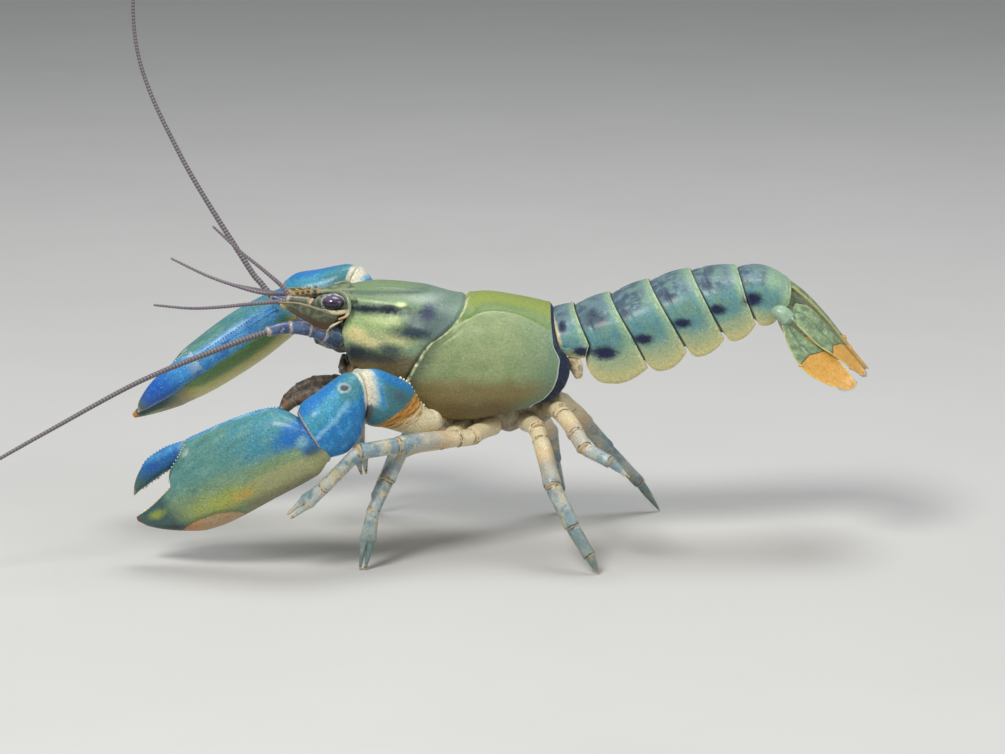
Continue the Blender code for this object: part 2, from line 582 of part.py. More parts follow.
def make_feelers(head):
    whip_points, flagellum_points = 8, 22
    for word, side in SIDES:
        antennule = tube("antennule_" + word, mirrored(ANTENNULE_BASE, side), ANTENNULE_BASE_RADII)
        whips = [tube("whip", smooth_path(path, whip_points), tapering(WHIP_RADII, whip_points), 1)
                 for path in ANTENNULE_WHIPS[side]]
        fuse(antennule, whips)
        set_clear(antennule, head)
        base = tube("antenna_base_" + word, ANTENNA_BASE[side], ANTENNA_BASE_RADII, 3)
        set_clear(base, head)
        path = smooth_path(FLAGELLUM[side], flagellum_points)
        path[0] -= (path[1] - path[0]).normalized()
        flagellum = tube("antenna_" + word, path, tapering(FLAGELLUM_RADII, flagellum_points))
        set_clear(flagellum, base)
        scale = blade("antennal_scale_" + word, mirrored(SCALE_UPPER, side), mirrored(SCALE_LOWER, side),
                      SCALE_THICKNESS, -0.3 * side, 5, 3)
        set_clear(scale, base, head)


def make_maxillipeds(head, sternum, thorax):
    for word, side in SIDES:
        limb = tube("maxilliped_" + word, mirrored(MAXILLIPED, side), MAXILLIPED_RADII, 2)
        set_clear(limb, head, thorax, sternum)


def claw_frame(start, end, roll=0.0):
    """Axis of a segment, the direction its outline rises in, and the one it is thick in."""
    start, end = Vector(start), Vector(end)
    along = (end - start).normalized()
    aside = along.cross(Vector((0, 0, 1))).normalized()
    rise = aside.cross(along)
    turn = Matrix.Rotation(radians(roll), 3, along)
    return start, along, turn @ rise, turn @ aside


def outline_rings(frame, stations, upper, lower, thick, sides=14):
    start, along, rise, aside = frame
    rings = []
    for s in stations:
        high, low = line_at(upper, s), line_at(lower, s)
        centre = start + along * s + rise * (high + low) / 2
        rings.append(oval(centre, aside, rise, line_at(thick, s), (high - low) / 2, sides, 0.88))
    return rings


def make_claw(word, side, head, thorax, sternum):
    """The great claw of one side: arm, wrist, hand and movable finger, parted at the joints."""
    elbow, wrist = Vector(ELBOW[side]), Vector(WRIST[side])
    arm_frame = claw_frame(ARM_START[side], elbow)
    wrist_frame = claw_frame(elbow, wrist)
    hand_frame = claw_frame(wrist, CLAW_TIP[side], CLAW_ROLL[side])
    elbow_plane = (elbow, (arm_frame[1] + wrist_frame[1]).normalized())
    wrist_plane = (wrist, (wrist_frame[1] + hand_frame[1]).normalized())

    arm = make_arm("claw_arm_" + word, SHOULDER[side], arm_frame, (elbow - arm_frame[0]).length, elbow_plane)
    set_clear(arm, head, thorax, sternum)
    make_wrist("claw_wrist_" + word, side, wrist_frame, (wrist - elbow).length, elbow_plane, wrist_plane)
    hand = make_hand("claw_hand_" + word, hand_frame, wrist_plane)
    finger = make_finger("claw_finger_" + word, hand_frame, FINGER_SWING[side])
    set_clear(finger, hand)


def make_arm(name, shoulder, frame, length, elbow_plane):
    start, along, rise, _ = frame
    rings = outline_rings(frame, [length * t for t in ARM_STATIONS], ARM_UPPER, ARM_LOWER, ARM_THICK, 12)
    arm = loft(name, rings)
    trim(arm, *elbow_plane, -1)
    shoulder = Vector(shoulder)
    path = (shoulder, shoulder.lerp(start, 0.55), start, start + along * 1.5)
    pieces = [tube("ischium", path, ISCHIUM_RADII, 3)]
    for s in ARM_SPINES:
        top = line_at(ARM_UPPER, s) - TOOTH_SUNK
        pieces.append(spine(start + along * s + rise * top, rise + along * 0.4, *ARM_SPINE_SIZE))
    fuse(arm, pieces)
    return arm


def make_wrist(name, side, frame, length, elbow_plane, wrist_plane):
    start, along, rise, aside = frame
    stations = [length * t for t in CARPUS_STATIONS]
    wrist = loft(name, outline_rings(frame, stations, CARPUS_UPPER, CARPUS_LOWER, CARPUS_THICK, 14))
    trim(wrist, *elbow_plane, 1)
    trim(wrist, *wrist_plane, -1)
    inward = aside if aside.y * side < 0 else -aside
    share, out, up = CARPUS_THORN
    fuse(wrist, [spine(start + along * length * share + inward * out + rise * up, inward + along * 0.5,
                       *CARPUS_THORN_SIZE)])


def make_hand(name, frame, wrist_plane):
    start, along, rise, _ = frame
    hand = loft(name, outline_rings(frame, HAND_STATIONS, HAND_UPPER, HAND_LOWER, HAND_THICK, 16))
    trim(hand, *wrist_plane, 1)
    pieces = []
    for s in PALM_KNOBS + FIXED_FINGER_TEETH:
        top = line_at(HAND_UPPER, s) - TOOTH_SUNK
        pieces.append(spine(start + along * s + rise * top, rise, *KNOB_SIZE))
    fuse(hand, pieces)
    return hand


def make_finger(name, frame, swing_angle):
    """The movable finger, swung about its hinge by an angle that closes it."""
    start, along, rise, aside = frame
    swing = Matrix.Rotation(radians(-swing_angle), 3, aside)
    hinge = start + along * FINGER_HINGE[0] + rise * FINGER_HINGE[1]
    along, rise = swing @ along, swing @ rise

    def place(s, height):
        return hinge + along * (s - FINGER_HINGE[0]) + rise * (height - FINGER_HINGE[1])

    finger = loft(name, [oval(place(s, height), aside, rise, thick, tall, 10, 0.9)
                         for s, height, tall, thick in FINGER])
    underside = [(s, height - tall) for s, height, tall, _ in FINGER]
    fuse(finger, [spine(place(s, line_at(underside, s) + TOOTH_SUNK), -rise, *KNOB_SIZE)
                  for s in FINGER_TEETH])
    return finger


def edge_x(edge, z):
    """X of an abdomen ring's edge at a height."""
    x_top, z_top, x_side, z_side, _, x_low, z_low, _ = edge
    if z >= z_side:
        return x_side + (x_top - x_side) * min((z - z_side) / (z_top - z_side), 1.0)
    return x_side + (x_low - x_side) * min((z_side - z) / (z_side - z_low), 1.0)


def ring_section(edge, arch=6):
    """One section of an abdomen ring: a roof, two side plates and the belly between them."""
    _, top, _, side, half, _, low, low_half = edge
    belly = min(low + BELLY_RISE, side - 0.8)
    points = []
    for i in range(1, arch + 1):
        a = i / arch * pi / 2
        points.append((half * sin(a) ** 0.95, side + (top - side) * max(cos(a), 0.0) ** 0.95))
    points.append(((half + low_half) / 2 + 0.1, (side + low) / 2))
    points.append((low_half, low))
    points.append((low_half - PLATE_THICKNESS, low + 0.35))
    points.append((low_half - PLATE_THICKNESS * 2.4, belly))
    right = [(edge_x(edge, z), y, z) for y, z in points]
    left = [(x, -y, z) for x, y, z in reversed(right)]
    return [(edge_x(edge, top), 0.0, top)] + right + [(edge_x(edge, belly), 0.0, belly - 0.3)] + left


def ring_caps(count, arch=6):
    """End faces of a ring: level strips under the roof, one face for each side plate, one above the belly."""
    middle = count // 2
    plate = list(range(arch, middle))
    faces = [(0, 1, count - 1)]
    faces += [(i, i + 1, count - i - 1, count - i) for i in range(1, arch)]
    faces += [plate, [count - i for i in plate], (arch, middle - 1, middle, middle + 1, count - arch)]
    return faces


def ring_edge(front, rear, plate_front, plate_tip, crown, t):
    """The eight sizes of a section at t = 0 at the front to 1 at the rear of a ring."""
    start = list(front)
    start[5], start[6] = plate_front
    mixed = [a + (b - a) * t for a, b in zip(start, rear)]
    swell = 4 * t * (1 - t)
    mixed[1] += crown * swell
    mixed[4] += 0.25 * swell
    bend = Vector(plate_tip) - (Vector(plate_front) + Vector((rear[5], rear[6]))) / 2
    mixed[5] += bend.x * swell
    mixed[6] += bend.y * swell
    return mixed


def behind(edge):
    """Front edge of the next ring, a step lower and a gap behind this rear edge."""
    x_top, z_top, x_side, z_side, half, x_low, z_low, low_half = edge
    return (x_top + RING_GAP, z_top - RING_STEP, x_side + RING_GAP, z_side, half - RING_STEP,
            x_low + RING_GAP,
            z_low, low_half - RING_STEP)


def make_abdomen(thorax, sternum):
    rings = []
    front = FIRST_EDGE
    for i, rear in enumerate(REAR_EDGES):
        sections = [ring_section(ring_edge(front, rear, PLATE_FRONTS[i], PLATE_TIPS[i], RING_CROWNS[i], t))
                    for t in RING_STATIONS]
        ring = loft("abdomen_%d" % (i + 1), sections, ring_caps(len(sections[0])))
        if i in SWIMMERET_RINGS:
            fuse(ring, [swimmeret(front, rear, side) for _, side in SIDES])
        rings.append(ring)
        front = behind(rear)
    set_clear(rings[0], thorax, sternum)
    return rings


def swimmeret(front, rear, side):
    """A soft paddle that hangs below the belly between the side plates."""
    belly = rear[6] + BELLY_RISE
    root = Vector(((front[2] + rear[2]) / 2 + 0.9, side * 3.4, belly + 1.2))
    tip = root + Vector((-0.9, side * 0.4, -SWIMMERET_LENGTH))
    rings = []
    for t, wide in ((0.0, 0.6), (0.35, 0.75), (0.7, 1.0), (1.0, 0.4)):
        rings.append(oval(root.lerp(tip, t), (1, 0, 0), (0, 1, 0), wide, 0.45, 6))
    return loft("swimmeret", rings)


def make_tail(last_ring):
    left_edge = mirrored(TELSON_EDGE, LEFT)
    telson = blade("telson", left_edge, TELSON_EDGE, BLADE_THICKNESS + 0.1, TELSON_CREST, 8, 6)
    set_clear(telson, last_ring)
    for word, side in SIDES:
        base = tube("uropod_base_" + word, mirrored(UROPOD_BASE, side), UROPOD_BASE_RADII, 3)
        set_clear(base, last_ring, telson)
        inner = blade("uropod_inner_" + word, mirrored(INNER_BLADE[0], side), mirrored(INNER_BLADE[1], side),
                      BLADE_THICKNESS, side * 0.35, 8, 4)
        outer = blade("uropod_outer_" + word, mirrored(OUTER_BLADE[0], side), mirrored(OUTER_BLADE[1], side),
                      BLADE_THICKNESS, side * 0.35, 8, 4)
        set_clear(inner, telson, base)
        set_clear(outer, inner, base)


def leg_path(joints, radii):
    """A leg's centre line and thickness: pinched at each joint, fuller between."""
    path, widths = [], []
    for i, (a, b) in enumerate(zip(joints, joints[1:])):
        a, b = Vector(a), Vector(b)
        ra, rb = radii[i], radii[i + 1]
        start = ra * (LEG_PINCH if i else 1.0)
        path.append(a)
        widths.append(start)
        for t in (0.16, 0.8):
            path.append(a.lerp(b, t))
            widths.append((ra + (rb - ra) * t) * LEG_SWELL)
    path.append(Vector(joints[-1]))
    widths.append(radii[-1])
    return path, widths


def make_leg(number, word, side, body):
    joints = LEGS[number, side]
    path, widths = leg_path(joints, LEG_RADII)
    leg = tube("leg_%s_%s_upper" % (number, word), path, widths, 2)
    last, tip = (Vector(p) for p in joints[4:])
    if number in PINCER_LEGS:
        heading = (tip - last).normalized()
        aside = heading.cross(Vector((0.0, 1.0, 0.0))).normalized()
        root = last.lerp(tip, PINCER_SPAN[0]) + aside * PINCER_ROOT_ASIDE
        end = last.lerp(tip, PINCER_SPAN[1]) + aside * (PINCER_RADII[2] + PINCER_SPREAD)
        bend = root.lerp(end, PINCER_BEND[0]) + aside * PINCER_BEND[1]
        fuse(leg, [tube("pincer", (root - heading, bend, end), PINCER_RADII, 1)])
    set_clear(leg, *body)
    knee = Vector(joints[2])
    before = (knee - Vector(joints[1])).normalized()
    after = (Vector(joints[3]) - knee).normalized()
    lower = part_at(leg, "leg_%s_%s_lower" % (number, word), knee, before + after)
    if tip.z < 0:
        cut(lower, floor_block())


def floor_block():
    form = bmesh.new()
    bmesh.ops.create_cube(form, size=1.0)
    bmesh.ops.scale(form, vec=FLOOR_BLOCK, verts=form.verts)
    bmesh.ops.translate(form, vec=(0, 0, -FLOOR_BLOCK[2] / 2), verts=form.verts)
    return finish_mesh("floor", form)


def centre_on_origin():
    """Move the whole animal so that the middle of its box stands at X = Y = 0 on the floor."""
    corners = [vert.co for thing in model.objects for vert in thing.data.vertices]
    middle = [(min(c[i] for c in corners) + max(c[i] for c in corners)) / 2 for i in (0, 1)]
    floor = min(c.z for c in corners)
    for thing in model.objects:
        thing.data.transform(Matrix.Translation((-middle[0], -middle[1], -floor)))


def kind_of(name):
    """Which surface a node shows."""
    kinds = (("eyestalk", "limb"), ("eye", "eye"), ("head", "shell"), ("thorax", "shell"),
             ("sternum", "belly"), ("antenn", "feeler"), ("maxilliped", "limb"), ("claw", "claw"),
             ("abdomen", "ring"),
             ("telson", "fan"), ("uropod", "fan"), ("leg", "limb"))
    return next(kind for start, kind in kinds if name.startswith(start))


clear_scene()
model = bpy.data.collections.new("crayfish")
bpy.context.scene.collection.children.link(model)

head_shell, thorax_shell = make_carapace()
sternum_plate = make_sternum(thorax_shell, head_shell)
make_eyes(head_shell)
make_feelers(head_shell)
make_maxillipeds(head_shell, sternum_plate, thorax_shell)
for side_word, side_sign in SIDES:
    make_claw(side_word, side_sign, head_shell, thorax_shell, sternum_plate)
abdomen_rings = make_abdomen(thorax_shell, sternum_plate)
make_tail(abdomen_rings[-1])
for leg_number in ("2", "3", "4", "5"):
    for side_word, side_sign in SIDES:
        make_leg(leg_number, side_word, side_sign, (thorax_shell, sternum_plate, abdomen_rings[0]))
centre_on_origin()
for node in model.objects:
    node.data.materials.clear()
    node.data.materials.append(material(kind_of(node.name)))
    node.data.shade_smooth()
    node.data.set_sharp_from_angle(angle=radians(35))
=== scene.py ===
from math import cos, pi, radians, sin

import bmesh
import bpy
import numpy as np
from mathutils import Matrix, Vector


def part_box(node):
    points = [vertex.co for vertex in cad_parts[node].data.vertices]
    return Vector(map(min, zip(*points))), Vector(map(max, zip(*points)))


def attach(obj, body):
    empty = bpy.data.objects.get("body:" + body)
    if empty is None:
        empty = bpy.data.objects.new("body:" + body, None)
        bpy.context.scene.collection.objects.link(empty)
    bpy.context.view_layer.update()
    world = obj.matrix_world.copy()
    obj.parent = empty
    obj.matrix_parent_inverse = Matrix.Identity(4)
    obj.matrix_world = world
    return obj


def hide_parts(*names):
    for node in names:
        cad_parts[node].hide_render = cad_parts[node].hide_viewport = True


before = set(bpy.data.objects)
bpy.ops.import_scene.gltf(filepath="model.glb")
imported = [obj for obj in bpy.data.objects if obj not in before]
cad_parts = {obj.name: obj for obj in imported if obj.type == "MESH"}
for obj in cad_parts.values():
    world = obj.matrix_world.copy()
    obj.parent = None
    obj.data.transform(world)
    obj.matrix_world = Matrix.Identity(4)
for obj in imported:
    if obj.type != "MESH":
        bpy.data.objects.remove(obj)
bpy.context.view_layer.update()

MM = 0.001
SIDES = (("left", -1), ("right", 1))
EYE_CENTRE = (-27.5, 5.7, 41.35)
low_corner, high_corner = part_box("eye_left")
OFFSET = (low_corner + high_corner) / 2 - Vector((EYE_CENTRE[0], -EYE_CENTRE[1], EYE_CENTRE[2])) * MM

# Carapace, lines along X
TOP_LINE = ((-26.0, 43.2), (-24.4, 43.5), (-20.4, 44.0), (-13.5, 43.4), (-6.4, 41.8), (-3.0, 42.1),
            (2.9, 41.3), (12.0, 39.1))
WIDEST_LINE = ((-26.4, 36.2), (-24.6, 36.2), (-13.5, 35.0), (-3.7, 32.8), (12.0, 31.4))
LOW_LINE = ((-26.4, 31.6), (-24.6, 30.9), (-16.7, 26.6), (-10.4, 22.8), (-6.9, 22.4), (2.8, 24.1),
            (6.1, 24.9), (12.0, 27.0))
HALF_WIDTH = ((-26.4, 5.8), (-24.6, 6.3), (-20.4, 7.7), (-13.5, 9.2), (-6.9, 10.2), (-1.0, 10.7), (6.0, 10.4),
              (12.0, 9.6))
ROOF_SHARE, FLANK_SHARE, FLOOR_START = 0.56, 0.34, 0.9
LOW_HALF_WIDTH = ((-26.4, 5.0), (-24.6, 5.4), (-13.5, 7.6), (2.8, 8.4), (12.0, 8.2))
# Edges of the two shell plates as X at a height
CHEEK_EDGE = ((20.0, -23.6), (28.0, -24.2), (31.0, -24.8), (34.5, -25.8), (36.5, -26.1), (38.8, -25.3),
              (41.2, -24.8), (42.0, -25.4), (42.6, -26.2), (43.4, -26.8), (46.0, -27.0))
GROOVE = ((46.0, -6.0), (41.7, -6.0), (39.7, -6.9), (37.1, -9.3), (35.2, -11.9), (32.2, -13.9), (27.5, -16.2),
          (20.0, -17.5))
REAR_EDGE = ((46.0, 8.3), (39.9, 8.3), (35.2, 9.0), (32.3, 10.8), (30.6, 10.9), (28.2, 10.3), (26.2, 8.9),
             (24.6, 6.6), (20.0, 5.0))
RIM_WIDTH = ((24.0, 1.9), (30.6, 1.8), (32.3, 1.5), (35.0, 0.8), (37.5, 0.55), (40.0, 0.45))
ROSTRUM = ((-14.5, 43.0, 3.4, 2.6), (-19.0, 44.0, 3.5, 3.0), (-24.4, 43.75, 3.1, 2.6),
           (-28.3, 43.3, 2.3, 1.9), (-31.5, 42.8, 1.6, 1.5), (-33.6, 42.4, 1.0, 1.1),
           (-35.2, 41.9, 0.35, 0.6))
ROSTRAL_TEETH = (-30.6, -31.7, -32.6, -33.5)
SNOUT = ((-30.2, 36.4, 34.8, 33.6, 2.8), (-29.2, 37.4, 35.0, 33.0, 4.2), (-26.8, 38.4, 35.2, 32.4, 5.4),
         (-23.6, 39.0, 35.4, 31.8, 6.0), (-21.0, 39.4, 35.6, 31.4, 5.4))
STERNUM = ((-13.5, 27.0, 21.8, 2.6), (-10.5, 25.5, 19.4, 4.0), (-3.0, 25.5, 18.9, 4.4),
           (5.0, 26.5, 19.4, 4.4), (9.3, 28.5, 21.4, 3.4))

# Folds round the eye and on the cheek
LOWER_LID = ((-28.9, 6.4, 40.4), (-28.2, 6.6, 40.1), (-26.9, 6.8, 39.9), (-25.4, 6.6, 40.1),
             (-24.9, 6.4, 40.5))
ORBIT_FOLD = ((-27.6, 3.2, 42.7), (-26.4, 4.4, 42.8), (-25.3, 5.5, 42.3), (-24.9, 6.2, 41.3),
              (-24.9, 6.6, 40.2), (-25.4, 6.8, 39.3), (-26.4, 7.0, 38.9))
CHEEK_FOLD = ((-26.2, 6.8, 38.5), (-27.5, 6.8, 37.8), (-28.4, 6.8, 37.1), (-28.6, 6.6, 35.8))

STALK_PATH = ((-23.6, 1.6, 40.3), (-25.6, 2.8, 40.7), (-27.0, 4.0, 41.1), (-27.4, 4.9, 41.3))
ANTENNULE_BASE = ((-28.2, 1.9, 37.0), (-29.6, 2.0, 39.3), (-31.6, 2.1, 40.7), (-35.2, 2.3, 41.2))
ANTENNULE_WHIPS = {
    -1: (((-34.6, -2.3, 41.4), (-36.0, -1.9, 43.3), (-39.3, -1.6, 46.2), (-42.9, -1.3, 49.1),
          (-47.1, -1.0, 53.0)),
         ((-34.6, -2.4, 41.1), (-41.2, -4.0, 40.8), (-46.0, -5.0, 40.5), (-50.8, -6.0, 40.5),
          (-56.3, -7.0, 41.2))),
    1: (((-34.6, 2.3, 41.3), (-39.6, 2.3, 41.5), (-44.6, 3.2, 42.7), (-49.1, 4.0, 44.2),
         (-54.6, 5.0, 46.7)),
        ((-34.6, 2.3, 41.2), (-37.6, 3.4, 41.3), (-41.0, 5.2, 41.6), (-44.6, 7.0, 42.0))),
}
ANTENNA_BASE = {
    -1: ((-26.4, -4.4, 35.0), (-28.9, -5.2, 36.3), (-31.4, -5.8, 37.1), (-34.6, -6.9, 37.5),
         (-38.1, -8.5, 37.1)),
    1: ((-26.4, 4.4, 35.0), (-28.9, 5.2, 36.4), (-31.4, 5.8, 37.5), (-34.9, 6.9, 38.6),
        (-38.3, 8.1, 39.6)),
}
ANTENNA_BASE_RADII = (1.9, 1.75, 1.35, 1.1, 0.8)
FLAGELLUM = {
    -1: ((-38.1, -8.5, 37.1), (-44.8, -11.0, 35.1), (-58.0, -16.0, 30.5), (-72.0, -21.0, 23.6),
         (-86.0, -26.0, 16.4), (-100.0, -31.0, 9.6)),
    1: ((-38.3, 8.1, 39.6), (-40.3, 9.4, 41.8), (-43.0, 11.0, 45.1), (-54.1, 17.0, 62.3),
        (-61.3, 22.0, 78.5), (-61.8, 25.0, 95.0), (-59.0, 28.0, 112.0)),
}
SCALE_UPPER = ((-26.9, 6.4, 39.3), (-29.6, 7.0, 40.4), (-33.0, 6.8, 41.4), (-35.9, 6.2, 41.5))
SCALE_LOWER = ((-27.6, 6.6, 37.9), (-29.0, 7.2, 37.2), (-32.4, 7.2, 38.9), (-35.9, 6.3, 40.9))
MAXILLIPED = ((-14.2, 3.2, 26.0), (-18.5, 3.4, 25.0), (-24.0, 3.8, 25.3), (-28.4, 4.0, 26.0),
              (-31.6, 4.2, 25.8), (-34.0, 4.1, 24.8), (-36.0, 3.9, 23.1), (-37.0, 3.7, 21.3))
MAXILLIPED_RADII = (1.5, 1.6, 1.6, 1.35, 1.2, 1.0, 0.8, 0.35)
# Mouth: the soft field between the cheeks, the jaws that meet in the middle, the small legs folded over them
MOUTH_FIELD = ((-25.2, 0.0, 31.3), (-21.5, 0.0, 29.2), (-16.6, 0.0, 26.6))
JAW = ((-19.4, 5.2, 28.0), (-21.8, 4.2, 28.6), (-23.8, 2.5, 29.4), (-24.6, 0.7, 29.9))
MOUTH_LEG = ((-17.6, 2.2, 26.6), (-21.6, 2.5, 26.9), (-24.8, 2.5, 28.0), (-26.4, 2.1, 29.7),
             (-26.2, 1.4, 31.2))
MOUTH_LEG_RADII = (0.95, 1.0, 0.9, 0.7, 0.35)

# Great claws: axes from joint to joint, and the outline of each length beside its axis
SHOULDER = {-1: (-10.4, -2.6, 22.4), 1: (-10.4, 2.6, 22.4)}
ARM_START = {-1: (-12.1, -8.5, 22.3), 1: (-13.2, 9.3, 24.6)}
ELBOW = {-1: (-22.9, -17.2, 28.5), 1: (-25.4, 17.0, 39.3)}
WRIST = {-1: (-30.3, -21.0, 22.5), 1: (-35.5, 18.5, 36.3)}
CLAW_TIP = {-1: (-59.0, -15.0, 8.3), 1: (-62.8, 13.0, 18.3)}
CLAW_ROLL = {-1: 0.0, 1: -64.0}
ARM_UPPER = ((0.0, 1.7), (3.3, 2.3), (5.2, 3.5), (7.4, 4.7), (12.0, 5.0), (15.5, 3.9), (21.0, 3.9))
ARM_LOWER = ((0.0, -1.9), (3.1, -3.2), (8.2, -3.5), (12.0, -4.0), (15.5, -3.4), (21.0, -3.4))
ARM_THICK = ((0.0, 1.8), (5.0, 2.6), (11.0, 3.4), (15.5, 2.9), (21.0, 2.9))
CARPUS_UPPER = ((0.0, 3.3), (1.6, 4.5), (5.3, 4.9), (8.0, 5.2), (10.5, 4.3))
CARPUS_LOWER = ((0.0, -2.4), (2.0, -3.8), (4.4, -5.1), (7.0, -5.6), (10.5, -3.9))
CARPUS_THICK = ((0.0, 2.6), (2.5, 3.8), (7.0, 4.5), (10.5, 3.7))
HAND_UPPER = ((0.0, 3.6), (1.8, 5.6), (4.0, 6.8), (8.0, 7.6), (14.0, 7.9), (19.4, 7.9), (22.0, 6.1),
              (24.2, 4.3), (25.0, 2.2), (27.4, 1.1), (30.2, 0.2), (32.8, -0.3))
HAND_LOWER = ((0.0, -4.6), (2.5, -6.0), (10.0, -6.6), (18.9, -7.2), (22.5, -6.9), (25.7, -5.8), (31.6, -2.6),
              (32.8, -1.3))
HAND_THICK = ((0.0, 3.5), (4.0, 4.1), (10.0, 4.5), (18.0, 4.1), (24.2, 3.0), (28.0, 2.0), (32.8, 0.45))
HAND_LENGTH = 32.8
FINGER_HEIGHT = ((18.5, 6.3), (21.6, 6.5), (24.0, 6.3), (26.6, 5.9), (29.0, 5.0), (30.6, 4.1), (31.6, 3.2))
FINGER_TALL = ((18.5, 1.3), (21.6, 1.5), (24.0, 1.75), (26.6, 1.75), (29.0, 1.3), (30.6, 0.75), (31.6, 0.2))
FINGER_THICK = ((18.5, 2.0), (21.6, 2.1), (24.0, 2.1), (26.6, 1.8), (29.0, 1.3), (30.6, 0.8), (31.6, 0.2))
FINGER_HINGE = (20.6, 6.3)
ARM_LENGTH = 15.5
CLAW_SQUARENESS = 0.09
THORN_POINT = 0.12
FINGER_SWING = {-1: 0.0, 1: 12.0}
FINGER_REACH = {-1: 1.0, 1: 1.09}

# Abdomen: each rear edge as X and Z on top, X, Z and half width at the side, the same at the plate's corner
REAR_EDGES = (
    (11.6, 40.1, 14.0, 34.8, 8.5, 13.5, 32.9, 8.3),
    (17.5, 41.9, 20.7, 36.5, 8.5, 23.6, 31.0, 8.1),
    (23.9, 44.1, 27.3, 38.3, 8.2, 29.9, 33.6, 7.9),
    (30.7, 45.9, 33.7, 40.0, 7.7, 36.0, 35.6, 7.5),
    (38.3, 46.4, 39.5, 42.0, 7.1, 41.1, 37.9, 6.9),
    (47.2, 44.0, 46.6, 41.2, 5.4, 44.4, 38.2, 5.6),
)
FIRST_EDGE = (7.4, 39.0, 7.6, 34.6, 7.9, 7.6, 33.4, 7.8)
PLATE_FRONTS = ((9.6, 33.6), (13.7, 31.4), (23.5, 31.8), (30.2, 34.0), (36.2, 36.3), (41.4, 38.4))
PLATE_TIPS = ((11.6, 32.7), (17.6, 28.4), (26.6, 30.6), (32.6, 32.9), (38.4, 35.4), (42.6, 37.6))
RING_CROWNS = (0.15, 0.35, 0.4, 0.45, 0.45, 1.4)
BELLY_RISE = 3.6
PLATE_THICKNESS = 1.1

TELSON_EDGE = ((47.5, 3.0, 43.4), (50.2, 3.7, 41.2), (53.4, 4.1, 37.8), (56.2, 4.0, 34.3), (58.7, 2.9, 31.1),
               (59.9, 1.2, 29.8))
UROPOD_BASE = ((43.6, 4.3, 40.1), (45.3, 5.7, 39.7), (46.5, 6.2, 38.6))
INNER_BLADE = (((47.9, 3.9, 40.9), (50.3, 3.9, 40.1), (53.1, 4.1, 36.9), (55.8, 4.2, 33.8), (58.1, 4.9, 31.3),
                (58.9, 6.3, 30.2)),
               ((47.0, 6.4, 38.6), (48.9, 7.1, 36.8), (51.3, 7.8, 34.6), (54.0, 8.4, 33.0), (56.8, 8.1, 30.8),
                (58.1, 7.3, 29.9)))
OUTER_BLADE = (((46.9, 6.6, 37.6), (49.0, 6.9, 36.0), (51.8, 7.2, 34.1), (54.4, 7.9, 32.3), (56.4, 9.6, 30.2),
                (56.9, 10.9, 29.4)),
               ((45.3, 7.7, 37.9), (46.2, 9.3, 34.9), (47.6, 10.8, 32.5), (49.5, 11.5, 30.6),
                (52.4, 12.0, 29.1), (55.0, 12.0, 28.4)))

# Marks on the head: colour, X and Z of the middle with half width and half height, how ragged and how soft
# the edge is, and the share
HEAD_MARKS = (
    ((240, 226, 160), (-23.9, 36.3, 1.7, 1.2), 0.4, 0.6, 0.9),
    ((230, 218, 158), (-21.8, 35.1, 1.9, 0.8), 0.4, 0.6, 0.9),
    ((216, 212, 152), (-17.6, 35.8, 1.9, 0.7), 0.4, 0.6, 0.6),
    ((28, 42, 52), (-23.9, 33.2, 2.2, 1.3), 0.5, 0.7, 1.0),
    ((58, 66, 66), (-20.4, 32.6, 3.4, 0.9), 0.5, 0.7, 0.85),
    ((48, 64, 70), (-18.2, 34.0, 1.7, 0.9), 0.5, 0.7, 0.85),
    ((26, 48, 66), (-14.2, 37.0, 3.4, 1.1), 0.5, 0.7, 0.95),
    ((56, 80, 92), (-13.2, 38.8, 2.8, 1.4), 0.6, 0.7, 0.75),
    ((36, 46, 86), (-11.9, 40.0, 1.3, 1.2), 0.5, 0.7, 0.9),
    ((78, 96, 98), (-9.6, 38.4, 1.8, 2.4), 0.5, 0.8, 0.65),
)
WRIST_MARK = (-25.1, -20.3, 30.5)
# Marks on the rings: X and Z of the middle, half width and half height
NAVY_SPOTS = ((13.0, 33.8, 1.8, 0.8), (16.6, 33.6, 2.0, 1.15), (22.8, 35.8, 1.6, 0.85),
              (29.1, 38.4, 1.5, 0.8), (34.8, 40.5, 1.4, 0.85), (40.5, 42.1, 1.6, 1.1), (9.7, 37.5, 0.6, 1.0))
FAINT_SPOTS = ((15.0, 38.7, 1.9, 1.3), (19.9, 39.7, 0.8, 0.7), (26.9, 42.4, 1.1, 0.7), (33.2, 44.3, 0.8, 0.6))

